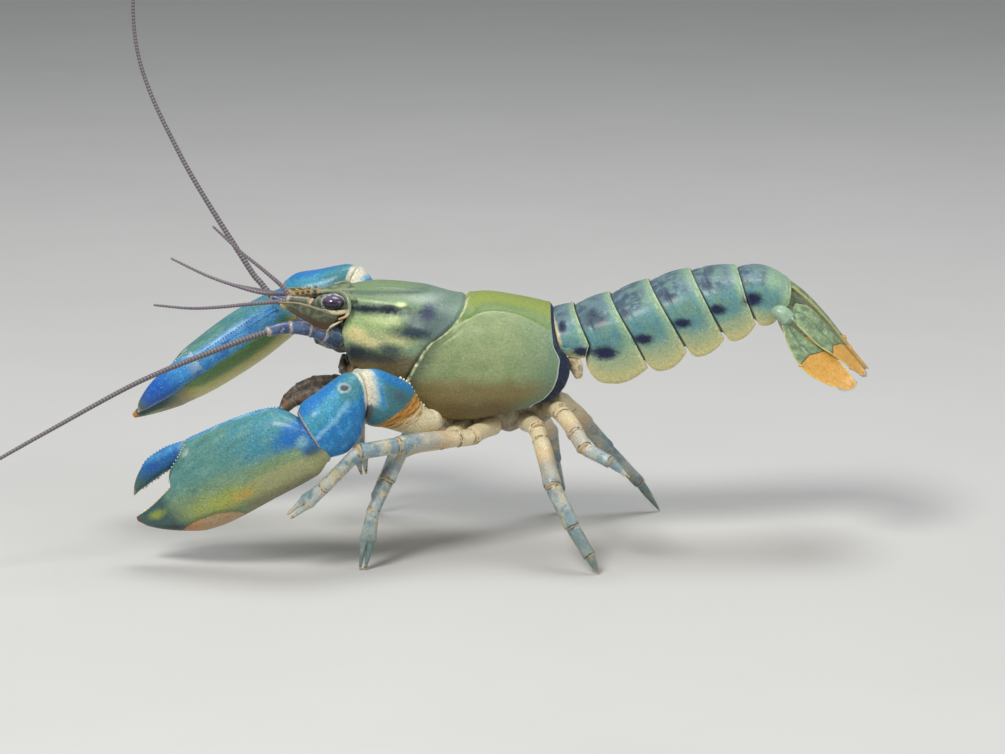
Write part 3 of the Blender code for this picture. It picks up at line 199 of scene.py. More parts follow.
# Walking legs: hip, ring above the knee, knee, wrist, the last joint, the tip
LEGS = {
    ("2", -1): ((-5.9, -3.4, 20.2), (-8.8, -7.8, 19.0), (-16.4, -13.8, 18.8), (-18.6, -16.2, 14.2),
                (-20.8, -18.0, 9.6), (-22.7, -19.0, -0.6)),
    ("3", -1): ((-1.3, -3.4, 20.4), (-5.1, -9.0, 19.7), (-16.9, -18.0, 20.4), (-22.9, -21.6, 20.2),
                (-28.6, -22.2, 14.4), (-34.0, -21.6, 9.7)),
    ("4", -1): ((3.8, -3.4, 21.0), (5.8, -9.4, 21.0), (8.1, -18.0, 13.6), (11.2, -20.0, 7.5),
                (14.0, -21.2, 2.9), (15.7, -21.8, -0.6)),
    ("5", -1): ((7.6, -2.6, 23.4), (9.6, -9.0, 23.8), (11.9, -15.4, 21.6), (13.2, -17.6, 19.8),
                (17.3, -19.4, 18.0), (20.2, -20.2, 15.8)),
    ("2", 1): ((-5.9, 3.4, 20.2), (-9.4, 8.0, 19.2), (-21.4, 15.6, 19.4), (-24.6, 17.6, 16.6),
               (-24.6, 18.2, 11.4), (-23.8, 18.0, 7.1)),
    ("3", 1): ((-1.3, 3.4, 20.4), (-4.8, 8.6, 18.6), (-14.6, 15.4, 15.4), (-18.0, 17.0, 11.6),
               (-20.6, 17.6, 5.4), (-22.4, 17.8, -0.6)),
    ("4", 1): ((3.8, 3.4, 21.0), (5.6, 8.8, 19.8), (8.2, 16.6, 14.4), (8.8, 17.8, 9.4),
               (9.8, 18.2, 4.0), (10.6, 18.2, -0.6)),
    ("5", 1): ((7.6, 2.6, 23.2), (10.4, 8.6, 21.6), (14.2, 14.8, 16.4), (18.0, 17.0, 11.6),
               (23.6, 18.8, 5.2), (27.6, 19.4, -0.6)),
}
LEG_RADII = (1.7, 1.45, 1.38, 1.16, 1.0, 0.3)


# Lines, rings and skins

def line(points):
    """A smooth line through (place, value) points that never overshoots, as a function of arrays."""
    points = np.array(sorted(points))
    places, values = points[:, 0], points[:, 1]
    slopes = np.diff(values) / np.diff(places)
    before, after = slopes[:-1], slopes[1:]
    total = np.where(before + after == 0, 1, before + after)
    shared = np.where(before * after > 0, 2 * before * after / total, 0)
    ends = np.concatenate(([slopes[0]], shared, [slopes[-1]]))

    def at(x):
        x = np.clip(x, places[0], places[-1])
        i = np.clip(np.searchsorted(places, x) - 1, 0, len(slopes) - 1)
        width = places[i + 1] - places[i]
        t = (x - places[i]) / width
        rise = values[i] + (values[i + 1] - values[i]) * t * t * (3 - 2 * t)
        return rise + width * (ends[i] * t * (1 - t) ** 2 - ends[i + 1] * t * t * (1 - t))
    return at


def path_through(points, count):
    """Places along a smooth curve through points."""
    points = np.array(points, float)
    first, last = 2 * points[0] - points[1], 2 * points[-1] - points[-2]
    p = np.vstack((first, points, last))
    place = np.linspace(0, len(points) - 1, count)
    i = np.minimum(place.astype(int), len(points) - 2)
    t = (place - i)[:, None]
    a, b, c, d = p[i], p[i + 1], p[i + 2], p[i + 3]
    curve, turn = 2 * a - 5 * b + 4 * c - d, 3 * b - a - 3 * c + d
    return 0.5 * (2 * b + (c - a) * t + curve * t * t + turn * t ** 3)


def mirrored(points, side):
    return np.array(points, float) * (1, side, 1)


def unit(vector):
    return vector / np.linalg.norm(vector)


def turns(around):
    return np.arange(around) * 2 * pi / around


def rings_along(path, half_aside, half_rise, around=24, square=0.0):
    """Rings across a path, without twist."""
    path = np.asarray(path, float)
    heading = np.gradient(path, axis=0)
    aside = np.cross(heading[0], (0.0, 0.0, 1.0))
    if np.linalg.norm(aside) < 0.01:
        aside = np.array((0.0, 1.0, 0.0))
    half_aside = np.broadcast_to(half_aside, len(path))
    half_rise = np.broadcast_to(half_rise, len(path))
    angle = turns(around)
    wide = np.cos(angle) * (1 + square * np.sin(angle) ** 2)
    tall = np.sin(angle) * (1 + square * np.cos(angle) ** 2)
    rings = []
    for place, forward, a, r in zip(path, heading, half_aside, half_rise):
        forward = unit(forward)
        aside = unit(aside - forward * aside.dot(forward))
        rise = np.cross(aside, forward)
        rings.append(place + np.outer(wide * a, aside) + np.outer(tall * r, rise))
    return np.array(rings)


def rounded(rings, first=0.3, last=0.3, steps=6):
    """Close both ends of a run of rings with domes of the given heights."""
    def dome(ring, inner, height):
        centre = ring.mean(axis=0)
        out = unit(centre - inner.mean(axis=0))
        angles = np.linspace(0, pi / 2, steps + 1)[1:]
        return [centre + (ring - centre) * max(cos(a), 0.0) + out * height * sin(a) for a in angles]
    start = dome(rings[0], rings[1], first)[::-1]
    return np.array(start + list(rings) + dome(rings[-1], rings[-2], last))


def lengthwise(rings, before=0.0):
    """For each ring, its distance from the first and to the last, and the first one with before added."""
    middle = rings.mean(axis=1)
    steps = np.linalg.norm(np.diff(middle, axis=0), axis=1)
    run = np.concatenate(([0.0], np.cumsum(steps)))
    chart = np.stack((run, run[-1] - run, run + before), axis=1)
    return np.repeat(chart[:, None], rings.shape[1], axis=1)


def charted(rows, start, axes):
    """Coordinates of places on three axes from a start."""
    return (rows - start) @ np.array(axes).T


def new_form():
    form = bmesh.new()
    form.verts.layers.float_vector.new("chart")
    return form


def skin(form, rows, chart=None, wrapped=True):
    """Lay a grid of faces over rows of places. A wrapped row closes on itself."""
    along, around = rows.shape[0] - 1, rows.shape[1]
    columns = around if wrapped else around - 1
    layer = form.verts.layers.float_vector["chart"]
    places = rows.tolist()
    charts = None if chart is None else chart.tolist()
    for vert in bmesh.ops.create_grid(form, x_segments=columns, y_segments=along, size=0.5)["verts"]:
        i = round((vert.co.x + 0.5) * columns) % around
        j = round((vert.co.y + 0.5) * along)
        vert.co = places[j][i]
        if charts:
            vert[layer] = charts[j][i]


def knob(form, place, direction, radius, height, chart=(0, 0, 0)):
    """A rounded tubercle standing on a place."""
    turn = Vector((0, 0, 1)).rotation_difference(Vector(direction)).to_matrix().to_4x4()
    grow = Matrix.Translation(Vector(place)) @ turn @ Matrix.Diagonal((radius, radius, height, 1.0))
    layer = form.verts.layers.float_vector["chart"]
    for vert in bmesh.ops.create_icosphere(form, subdivisions=2, radius=1.0, matrix=grow)["verts"]:
        vert[layer] = chart


def thorn(form, place, direction, radius, height, chart=(0, 0, 0), sides=10):
    """A pointed tooth or a bristle standing on a place."""
    direction = Vector(direction).normalized()
    turn = Vector((0, 0, 1)).rotation_difference(direction).to_matrix().to_4x4()
    middle = Matrix.Translation(Vector(place) + direction * height / 2)
    layer = form.verts.layers.float_vector["chart"]
    made = bmesh.ops.create_cone(form, cap_ends=True, segments=sides, radius1=radius,
                                 radius2=radius * THORN_POINT, depth=height, matrix=middle @ turn)
    for vert in made["verts"]:
        vert[layer] = chart


def hoop(form, centre, semi_x, semi_z, radius):
    """A thin ring standing in the X and Z plane."""
    angle = np.linspace(0, 2 * pi, 49)
    path = np.stack((np.cos(angle) * semi_x, angle * 0, np.sin(angle) * semi_z), axis=1) + centre
    skin(form, rings_along(path, radius, radius, 10))


def sealed(form):
    """Weld seams and poles, close what is open and turn the faces outwards."""
    bmesh.ops.remove_doubles(form, verts=form.verts, dist=0.0005)
    bmesh.ops.holes_fill(form, edges=[edge for edge in form.edges if edge.is_boundary], sides=0)
    bmesh.ops.recalc_face_normals(form, faces=form.faces)


def raised(form, height):
    """Move the surface along its normals by a height worked out from an array of places."""
    sealed(form)
    form.normal_update()
    places = np.array([vert.co[:] for vert in form.verts])
    normals = np.array([vert.normal[:] for vert in form.verts])
    for vert, place in zip(form.verts, (places + normals * height(places)[:, None]).tolist()):
        vert.co = place


def near(places, path, width, axes=(0, 1, 2)):
    """1 on a path, falling softly to 0 at about twice the width from it."""
    axes = list(axes)
    spots = places[..., axes]
    best = np.full(spots.shape[:-1], 1e9)
    path = np.array(path, float)[:, axes]
    for a, b in zip(path, path[1:]):
        t = np.clip((spots - a) @ (b - a) / ((b - a) @ (b - a)), 0, 1)
        best = np.minimum(best, np.linalg.norm(spots - a - t[..., None] * (b - a), axis=-1))
    return np.exp(-(best / width) ** 2)


def dressed(name, form, coat, slot, *nodes):
    """Finish a form as a piece of the model that stands for CAD nodes."""
    sealed(form)
    bmesh.ops.transform(form, matrix=Matrix.Translation(OFFSET) @ Matrix.Scale(MM, 4), verts=form.verts)
    mesh = bpy.data.meshes.new(name)
    form.to_mesh(mesh)
    form.free()
    mesh.shade_smooth()
    mesh.materials.append(coat)
    piece = bpy.data.objects.new(name, mesh)
    bpy.context.scene.collection.objects.link(piece)
    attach(piece, "root")
    if nodes:
        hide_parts(*nodes)


# Coats: the materials

GRAIN = 0.46
SPECULAR = 0.32

def tone(red, green, blue):
    """A colour given in the 0 to 255 scale of a picture."""
    shares = [value / 255 for value in (red, green, blue)]
    return tuple(s / 12.92 if s <= 0.04045 else ((s + 0.055) / 1.055) ** 2.4 for s in shares) + (1.0,)


def back_fold(x):
    """How far aside the fold runs that parts the thorax's back from its flank, at X."""
    return 6.6 + (x - 0.5) * (x - 0.5) * 0.033


class Signal:
    """A varying value of a coat that sums and products are written with."""

    def __init__(self, coat, socket):
        self.coat = coat
        self.socket = socket

    def __add__(self, other):
        return self.coat.sum("ADD", self, other)

    def __sub__(self, other):
        return self.coat.sum("SUBTRACT", self, other)

    def __mul__(self, other):
        return self.coat.sum("MULTIPLY", self, other)

    def __truediv__(self, other):
        return self.coat.sum("DIVIDE", self, other)

    def __rsub__(self, other):
        return self.coat.sum("SUBTRACT", other, self)

    def __abs__(self):
        return self.coat.sum("ABSOLUTE", self)

    __radd__ = __add__
    __rmul__ = __mul__


class Coat:
    """A material under construction. x, y and z are body millimetres, side is y without its sign, and a, b
    and c are the piece's own chart."""

    def __init__(self, name):
        self.material = bpy.data.materials.new(name)
        self.material.use_nodes = True
        self.tree = self.material.node_tree
        self.shader = self.tree.nodes["Principled BSDF"]
        place = self.node("ShaderNodeTexCoord", {}, {}, "Object")
        self.place = self.node("ShaderNodeVectorMath", {"operation": "MULTIPLY_ADD"},
                               {0: place, 1: (1 / MM,) * 3, 2: tuple(-OFFSET / MM)})
        self.x, self.y, self.z = self.parts(self.place)
        self.side = abs(self.y)
        self.chart = self.node("ShaderNodeAttribute", {"attribute_name": "chart"}, {}, "Vector")
        self.a, self.b, self.c = self.parts(self.chart)

    def node(self, kind, settings, inputs, output=0):
        """Any node: its type, its settings, its inputs as values or signals, and the output wanted."""
        made = self.tree.nodes.new(kind)
        for setting, value in settings.items():
            setattr(made, setting, value)
        for key, value in inputs.items():
            if isinstance(value, Signal):
                self.tree.links.new(value.socket, made.inputs[key])
            else:
                made.inputs[key].default_value = value
        return Signal(self, made.outputs[output])

    def parts(self, vector):
        split = self.tree.nodes.new("ShaderNodeSeparateXYZ")
        self.tree.links.new(vector.socket, split.inputs[0])
        return [Signal(self, output) for output in split.outputs]

    def sum(self, operation, *values):
        return self.node("ShaderNodeMath", {"operation": operation}, dict(enumerate(values)))

    def blend(self, under, over, share):
        """One colour over another by a share. A colour is a signal, or red, green and blue from 0 to 255."""
        under, over = (c if isinstance(c, Signal) else tone(*c) for c in (under, over))
        return self.node("ShaderNodeMix", {"data_type": "RGBA"}, {0: share, 6: under, 7: over}, 2)

    def start(self, under, over, share):
        """Begin the coat's colour with two that are blended by a share."""
        self.colour = self.blend(under, over, share)

    def lay(self, over, share):
        """Lay a colour over what the coat has so far, by a share."""
        self.colour = self.blend(self.colour, over, share)

    def fade(self, over, value, low, high, share=None):
        """Lay a colour where a value passes from low to high."""
        edge = self.spread(value, low, high)
        self.lay(over, edge if share is None else edge * share)

    def shaded(self, value, saturation):
        """The colour so far, lighter or darker."""
        return self.node("ShaderNodeHueSaturation", {},
                         {"Color": self.colour, "Value": value, "Saturation": saturation})

    def speckle(self, share):
        """Fine pale flecks and darker grain over the colour so far."""
        pale, dark = self.shaded(1.5, 0.75), self.shaded(0.55, 1.1)
        flecks = self.spread(self.grains(GRAIN), 0.42, 0.12) * self.patches(0.38, 0.6, 0.9, 5.0, 0.7)
        self.lay(pale, flecks * share)
        self.lay(dark, self.patches(0.45, 0.66, 0.42, 6.0, 0.85) * share)

    def spread(self, value, low, high):
        """0 at low to 1 at high, eased at both ends."""
        return self.node("ShaderNodeMapRange", {"interpolation_type": "SMOOTHSTEP"},
                         {0: value, 1: low, 2: high, 3: 0.0, 4: 1.0})

    def cloud(self, size, detail=3.0, rough=0.55, where=None):
        """Noise between 0 and 1 whose patches are about size millimetres across."""
        return self.node("ShaderNodeTexNoise", {}, {"Vector": where or self.place, "Scale": 1 / size,
                                                    "Detail": detail, "Roughness": rough})

    def drift(self, reach, size, detail=3.0, rough=0.55, where=None):
        """Noise on both sides of zero, to make an edge wander."""
        return (self.cloud(size, detail, rough, where) - 0.5) * reach

    def patches(self, low, high, size, detail=3.0, rough=0.55, where=None):
        """Soft patches of noise: 0 where it is under low, 1 where it is over high, or the other way round."""
        return self.spread(self.cloud(size, detail, rough, where), low, high)

    def to_joint(self):
        """Distance to the nearer end of a limb's length."""
        return self.sum("MINIMUM", self.a, self.b)

    def grains(self, size):
        """Distance from the middle of the nearest grain, 0 to about 1."""
        return self.node("ShaderNodeTexVoronoi", {}, {"Vector": self.place, "Scale": 1 / size})

    def patch(self, where, scale, shift, warp, soft):
        """1 inside a soft oval, 0 outside, on coordinates scaled and shifted so that its edge lies at 1."""
        flat = self.node("ShaderNodeVectorMath", {"operation": "MULTIPLY_ADD"},
                         {0: where, 1: scale, 2: shift})
        far = self.node("ShaderNodeVectorMath", {"operation": "LENGTH"}, {0: flat}, "Value")
        if warp is not None:
            far = far + warp
        return self.spread(far, 1 + soft, 1 - soft)

    def spot(self, x, z, wide, tall, warp=None, soft=0.35):
        """A soft oval in side view."""
        return self.patch(self.place, (1 / wide, 0.0, 1 / tall), (-x / wide, 0.0, -z / tall), warp, soft)

    def oval(self, a, b, wide, tall, warp=None, soft=0.35):
        """A soft oval on the chart."""
        return self.patch(self.chart, (1 / wide, 1 / tall, 0.0), (-a / wide, -b / tall, 0.0), warp, soft)

    def finish(self, rough, bumps=(), gloss=0.0, gloss_rough=0.1):
        """Wire the colour, the roughness and the bumps, each a signal with its height in millimetres."""
        settings = {"Base Color": self.colour, "Roughness": rough, "Coat Weight": gloss,
                    "Coat Roughness": gloss_rough, "Specular IOR Level": SPECULAR}
        for name, value in settings.items():
            if isinstance(value, Signal):
                self.tree.links.new(value.socket, self.shader.inputs[name])
            else:
                self.shader.inputs[name].default_value = value
        normal = None
        for height, depth in bumps:
            inputs = {"Height": height, "Distance": depth * MM, "Strength": 1.0}
            if normal:
                inputs["Normal"] = normal
            normal = self.node("ShaderNodeBump", {}, inputs)
        if normal:
            self.tree.links.new(normal.socket, self.shader.inputs["Normal"])
        return self.material


def head_coat():
    """Olive back, pale cheek, smoky blotches, a dark streak behind the eye that is partly painted shade and a
    painted highlight on the ridge above it.
    """
    coat = Coat("head_shell")
    warp = coat.drift(3.2, 1.7, 6.0, 0.65)
    fine = coat.drift(2.4, 0.7, 5.0, 0.7)
    mottle = coat.cloud(0.5, 5.0, 0.75)
    coat.start((122, 146, 106), (138, 162, 124), coat.spread(coat.z + warp * 0.5, 42.6, 40.4))
    coat.fade((112, 138, 126), coat.x + warp, -17.0, -9.5, 0.8)
    coat.lay((168, 192, 128), coat.spot(-20.6, 38.2, 5.6, 1.9, warp * 0.5 + fine * 0.2) * 0.9)
    coat.lay((204, 218, 158), coat.spot(-19.0, 38.9, 2.8, 0.8, warp * 0.5 + fine * 0.3, 0.6) * 0.7)
    coat.lay((172, 184, 132), coat.spot(-18.8, 35.6, 4.6, 1.7, warp * 0.5 + fine * 0.3) * 0.8)
    coat.fade((118, 104, 68), coat.z + warp * 0.4 + coat.x * 0.06, 33.2, 31.0)
    coat.fade((62, 64, 52), coat.z + warp * 0.4, 30.6, 27.8, 0.85)
    for over, oval, ragged, soft, share in HEAD_MARKS:
        mark = coat.spot(*oval, fine * ragged, soft)
        coat.lay(over, mark if share == 1.0 else mark * share)
    coat.lay((96, 98, 76), coat.spread(coat.b + fine * 0.3, 1.4, 0.1) * coat.spread(coat.z, 36.0, 33.0) * 0.6)
    # the dark streak behind the eye and its darker spots: partly the shell's own colour, partly painted shade
    # of the groove it lies in
    streak = coat.spot(-20.4, 40.35, 5.6, 0.8, fine * 0.7 + warp * 0.15, 0.8)
    coat.lay((28, 46, 54), streak * 0.9)
    coat.lay((8, 18, 34), coat.spot(-18.2, 40.5, 1.3, 0.6, fine * 0.4, 0.7))
    coat.lay((14, 26, 40), coat.spot(-22.2, 40.4, 2.0, 0.45, fine * 0.5, 0.7) * 0.9)
    # painted highlight: a pale line along the crest of the ridge above the streak
    ridge = coat.spread(abs(coat.z - 41.75 - (coat.x + 25.0) * -0.05) + fine * 0.16, 0.4, 0.05)
    ridge = ridge * coat.spread(coat.x + warp, -15.0, -17.4) * coat.spread(coat.side, 4.2, 5.0)
    coat.lay((176, 196, 150), ridge * 0.6)
    coat.lay((236, 250, 176), coat.spot(-16.5, 41.2, 0.8, 0.3, fine * 0.4, 0.6) * 0.95)
    coat.lay((196, 208, 196), coat.spot(-12.6, 42.0, 2.6, 0.5, fine * 0.7, 0.8) * 0.4)
    fold = coat.spread(abs(coat.z - 42.7 - (coat.x + 22.0) * 0.02) + fine * 0.2, 0.5, 0.1)
    coat.lay((76, 94, 92), fold * coat.spread(coat.x + warp, -11.0, -14.0) * 0.6)
    coat.speckle(0.6)
    bumps = ((coat.cloud(0.3, 4.0, 0.7), 0.1), (coat.grains(GRAIN), 0.06))
    return coat.finish(0.38 + mottle * 0.2 + streak * 0.3, bumps, 0.28 - streak * 0.28, 0.25)


def thorax_coat():
    """Yellow-green back, sage flanks that turn brown below, a pale front lip and a navy rear rim."""
    coat = Coat("thorax_shell")
    warp = coat.drift(2.4, 2.4, 5.0, 0.6)
    fine = coat.drift(2.4, 0.7, 5.0, 0.7)
    mottle = coat.cloud(0.35, 5.0, 0.8)
    coat.start((150, 164, 116), (134, 154, 120), coat.spread(coat.x + warp, -1.0, 7.0))
    coat.lay((122, 146, 98), coat.patches(0.42, 0.62, 3.2, 3.0) * 0.5)
    coat.fade((128, 116, 72), coat.z + warp, 30.8, 27.4)
    coat.fade((94, 78, 42), coat.z + warp, 27.0, 24.2, 0.85)
    coat.fade((72, 88, 74), coat.x - coat.z * 0.5 + warp, -26.0, -29.5, 0.6)
    coat.fade((104, 136, 114), coat.b + warp * 0.3, 3.4, 1.4, 0.6)
    fold = back_fold(coat.x)
    back = coat.spread(coat.side - fold + warp * 0.2, 0.35, -0.35) * coat.spread(coat.z, 36.8, 38.0)
    coat.lay((142, 158, 62), back * 0.85)
    coat.lay((100, 132, 78), back * coat.spread(coat.side - fold + warp, -3.4, -0.8) * 0.75)
    seam = coat.spread(abs(coat.side - fold) + fine * 0.14, 0.3, 0.03) * coat.spread(coat.z, 37.2, 38.4)
    seam = seam * coat.spread(coat.x + warp, 6.0, -1.0)
    coat.lay((196, 210, 166), seam * 0.6)
    lip = coat.spread(coat.a + fine * 0.2, 0.6, 0.25) * coat.patches(0.3, 0.6, 1.3)
    coat.lay((222, 226, 180), lip * 0.9)
    coat.lay((244, 240, 200), coat.spot(-14.2, 31.6, 0.45, 0.3, fine * 0.3))
    rim = coat.spread(coat.b + fine * 0.02, 1.04, 0.97)
    rim_tone = coat.blend((14, 34, 60), (56, 66, 82), coat.patches(0.5, 0.7, 0.8) * 0.7)
    coat.fade((206, 216, 212), abs(coat.b - 1.08), 0.1, 0.03, 0.7)
    coat.lay(rim_tone, rim)
    coat.speckle(0.55)
    bumps = ((coat.cloud(0.28, 4.0, 0.7), 0.1), (coat.grains(GRAIN), 0.06))
    return coat.finish(0.4 + mottle * 0.2, bumps, 0.25, 0.28)


def belly_coat():
    coat = Coat("belly_skin")
    coat.start((176, 162, 134), (128, 116, 96), coat.patches(0.36, 0.64, 1.6, 4.0))
    coat.lay((214, 198, 156), coat.patches(0.55, 0.7, 0.8) * 0.5)
    coat.lay((92, 82, 66), coat.patches(0.5, 0.7, 0.4, 4.0) * 0.4)
    return coat.finish(0.5, ((coat.cloud(0.4), 0.08),), 0.15, 0.3)


def ring_coat():
    """Slate and sea-green rings with navy spots, a pale painted highlight line along each flank, pale green
    rear edges and straw side plates.
    """
    coat = Coat("abdomen_ring")
    warp = coat.drift(2.0, 1.4, 5.0, 0.6)
    fine = coat.drift(2.4, 0.6, 5.0, 0.7)
    mottle = coat.cloud(0.4, 5.0, 0.75)
    coat.start((104, 132, 142), (98, 146, 146), coat.spread(coat.b + warp * 0.1, 0.28, 0.5))
    coat.lay((116, 152, 122), coat.patches(0.46, 0.64, 2.6, 3.0) * 0.6)
    coat.lay((54, 76, 96),
             coat.patches(0.42, 0.6, 1.9, 4.0) * coat.spread(coat.b, 0.56, 0.3)
             * coat.spread(coat.a, 0.9, 0.45) * 0.75)
    coat.lay((50, 108, 142),
             coat.spread(abs(coat.b - 0.6 + warp * 0.08), 0.18, 0.02)
             * coat.patches(0.44, 0.6, 1.2, 4.0) * 0.3)
    # painted highlight: a thin whitish line along the upper flank of each ring
    coat.lay((176, 198, 200),
             coat.spread(abs(coat.b - 0.36 + fine * 0.05), 0.05, 0.0)
             * coat.patches(0.4, 0.6, 0.9, 4.0) * 0.35)
    coat.fade((158, 190, 146), coat.a + fine * 0.06, 0.72, 0.94, 0.65)
    plate = coat.spread(coat.b + fine * 0.08, 0.7, 0.88)
    coat.lay((172, 182, 134), plate * 0.9)
    coat.fade((208, 196, 134), coat.b + fine * 0.06, 0.86, 0.97, 0.7)
    for x, z, wide, tall in NAVY_SPOTS:
        coat.lay((1, 18, 62), coat.spot(x, z, wide, tall, fine * 0.45, 0.5))
    for x, z, wide, tall in FAINT_SPOTS:
        coat.lay((34, 42, 78), coat.spot(x, z, wide, tall, fine * 0.5, 0.6) * 0.75)
    coat.lay((150, 184, 148), coat.spot(44.4, 45.0, 1.6, 1.5, fine * 0.3, 0.5) * 0.8)
    coat.lay((206, 206, 156), coat.spread(coat.a, 0.955, 0.975) * coat.patches(0.36, 0.6, 1.2) * 0.7)
    coat.fade((236, 228, 180), coat.b, 0.985, 1.0, 0.75)
    coat.fade((72, 92, 104), coat.a, 0.05, -0.03, 0.7)
    front = (coat.spread(abs(coat.x - 7.4 - (41.0 - coat.z) * 0.32), 0.55, 0.25)
             * coat.spread(coat.z, 34.0, 35.5))
    coat.lay((206, 190, 144), front * 0.9)
    coat.speckle(0.6)
    bumps = ((coat.cloud(0.3, 4.0, 0.7), 0.1), (coat.grains(GRAIN), 0.05))
    return coat.finish(0.36 + mottle * 0.2, bumps, 0.3, 0.25)


def claw_base(name):
    """Shared start of the claw coats: a is along the length, b across it from the lower to the upper edge.
    On the hand c is positive on the outer face, on the arm it is the distance from the elbow, and on the
    wrist it runs from 0 at the elbow to 10 at the hand."""
    coat = Coat(name)
    warp = coat.drift(2.6, 1.8, 5.0, 0.6, where=coat.chart)
    mottle = coat.cloud(0.4, 5.0, 0.75, where=coat.chart)
    return coat, warp, mottle


def granular(coat, mottle, roughness=0.38):
    """Fine pale granules, dark pits between them, and gloss."""
    grain = coat.grains(0.42)
    coat.speckle(0.7)
    bumps = ((coat.spread(grain, 0.45, 0.1), 0.07), (coat.cloud(0.25, 4.0, 0.7), 0.09))
    return coat.finish(roughness + mottle * 0.18, bumps, 0.28, 0.22)


def hand_coat():
    coat, warp, mottle = claw_base("claw_hand")
    s, h, face = coat.a, coat.b, coat.c
    coat.start((88, 142, 136), (124, 148, 104), coat.spread(h + warp, 2.4, -1.8))
    coat.lay((62, 146, 170), coat.oval(4.6, 5.0, 6.5, 3.0, warp * 0.5, 0.6) * 0.7)
    grain = coat.node("ShaderNodeCombineXYZ", {}, {0: s * 0.35 + h * 0.2, 1: h * 1.2, 2: face})
    coat.lay((142, 180, 160), coat.patches(0.48, 0.7, 1.2, 5.0, where=grain) * 0.35)
    coat.lay((50, 104, 104), coat.patches(0.52, 0.66, 2.2, 5.0, 0.7, where=grain) * 0.4)
    coat.lay((162, 164, 116), coat.spread(h + warp * 0.5, -1.3, -2.6) * coat.spread(s, 15.0, 9.0) * 0.9)
    coat.lay((132, 126, 96), coat.spread(h + warp * 0.4, -4.4, -5.8) * coat.spread(s, 16.0, 12.0) * 0.9)
    coat.lay((176, 182, 66), coat.oval(17.6, -3.3, 4.8, 1.4, warp * 0.6, 0.9) * 0.66)
    coat.lay((204, 162, 72), coat.oval(13.4, -3.8, 2.2, 0.8, warp * 0.5, 0.8) * 0.6)
    lens = coat.oval(22.2, -6.8, 6.6, 2.2, warp * 0.1, 0.05)
    coat.lay((84, 78, 36), coat.oval(22.2, -6.8, 7.1, 2.7, warp * 0.15, 0.16) * 0.6)
    lens_tone = coat.blend((190, 158, 118), (196, 138, 84), coat.spread(s + warp, 21.0, 25.0))
    coat.lay(lens_tone, lens * 0.95)
    coat.lay((38, 76, 84),
             coat.spread(s + warp * 0.8 - h * 0.3, 24.4, 28.0) * coat.spread(lens, 0.9, 0.2) * 0.85)
    coat.lay((28, 42, 48), coat.spread(s * 0.2 - h + warp * 0.3, 8.6, 9.6) * coat.spread(s, 25.0, 27.0) * 0.8)
    coat.lay((150, 164, 58), coat.oval(29.0, -1.2, 1.5, 0.6, warp * 0.5, 0.7) * 0.85)
    # blue near the wrist, with a pale hollow beside the joint
    coat.lay((54, 134, 164), coat.oval(6.4, 1.6, 4.4, 1.2, warp * 0.7, 0.9) * 0.6)
    coat.lay((24, 116, 190),
             coat.spread(s + warp * 0.5 - h * 0.3, 2.4, 0.8) * coat.spread(h, -2.6, -1.4)
             * coat.spread(h + warp * 0.6, 4.6, 2.8) * 0.85)
    coat.lay((10, 106, 184), coat.oval(2.4, 1.5, 2.5, 1.3, warp * 0.7, 0.7) * 0.9)
    # painted shade: a dark green patch inside the joint, below the pale hollow
    coat.lay((34, 66, 66), coat.oval(-0.4, -1.8, 1.6, 1.0, warp * 0.5, 0.7) * 0.65)
    coat.lay((142, 188, 192), coat.oval(0.6, 0.3, 0.9, 0.8, warp * 0.4, 0.7) * 0.7)
    # the inner, ventral face is green and straw yellow
    straw = coat.blend((110, 150, 84), (206, 200, 112), coat.spread(h + warp * 0.4, 5.0, 2.6))
    straw = coat.blend(straw, (122, 108, 84), coat.spread(s + warp, 21.0, 25.0) * 0.8)
    coat.lay(straw, coat.spread(face, -1.4, -2.6) * coat.spread(h, 7.6, 6.2))
    # a blue stripe along the upper edge
    stripe = coat.blend((128, 194, 220), (66, 150, 206), coat.patches(0.4, 0.6, 2.0, 4.0))
    coat.lay(stripe, coat.spread(h + warp * 0.3, 6.6, 7.3) * coat.spread(face, 1.7, 0.7) * 0.85)
    far_blue = coat.blend((90, 164, 222), (36, 118, 204), coat.patches(0.4, 0.64, 3.0, 3.0))
    coat.lay(far_blue,
             coat.spread(face, 1.6, -0.4) * coat.spread(h + warp * 0.4, 5.4, 6.6)
             * coat.spread(face, -2.8, -1.8) * coat.spread(coat.y, 0.0, 6.0) * 0.85)
    coat.lay((226, 228, 220), coat.oval(19.7, 6.6, 0.9, 0.8, warp * 0.5) * coat.spread(face, 2.2, 3.2) * 0.7)
    tip = coat.blend((104, 72, 50), (206, 136, 48), coat.spread(coat.y, -4.0, 4.0))
    coat.fade(tip, s, 31.9, 32.6, 0.9)
    return granular(coat, mottle)


def finger_coat():
    coat, warp, mottle = claw_base("claw_finger")
    coat.start((18, 98, 162), (66, 146, 202), coat.spread(coat.b + warp * 0.4, 6.4, 7.8))
    coat.lay((10, 70, 160), coat.patches(0.46, 0.66, 2.0, 4.0) * 0.5)
    coat.fade((34, 92, 112), coat.b + warp * 0.4, 6.0, 4.6, 0.85)
    coat.fade((70, 104, 86), coat.a + warp * 0.5, 27.4, 30.0, 0.8)
    far_blue = coat.blend((64, 152, 220), (8, 94, 194), coat.spread(coat.a + warp * 0.6, 21.0, 26.0))
    coat.lay(far_blue, coat.spread(coat.y, 0.0, 6.0) * coat.spread(coat.a, 31.0, 28.0) * 0.9)
    coat.fade((206, 214, 214), coat.a + warp * 0.9, 21.4, 18.4, 0.5)
    coat.fade((186, 156, 104), coat.a, 30.6, 31.5, 0.8)
    return granular(coat, mottle, 0.34)


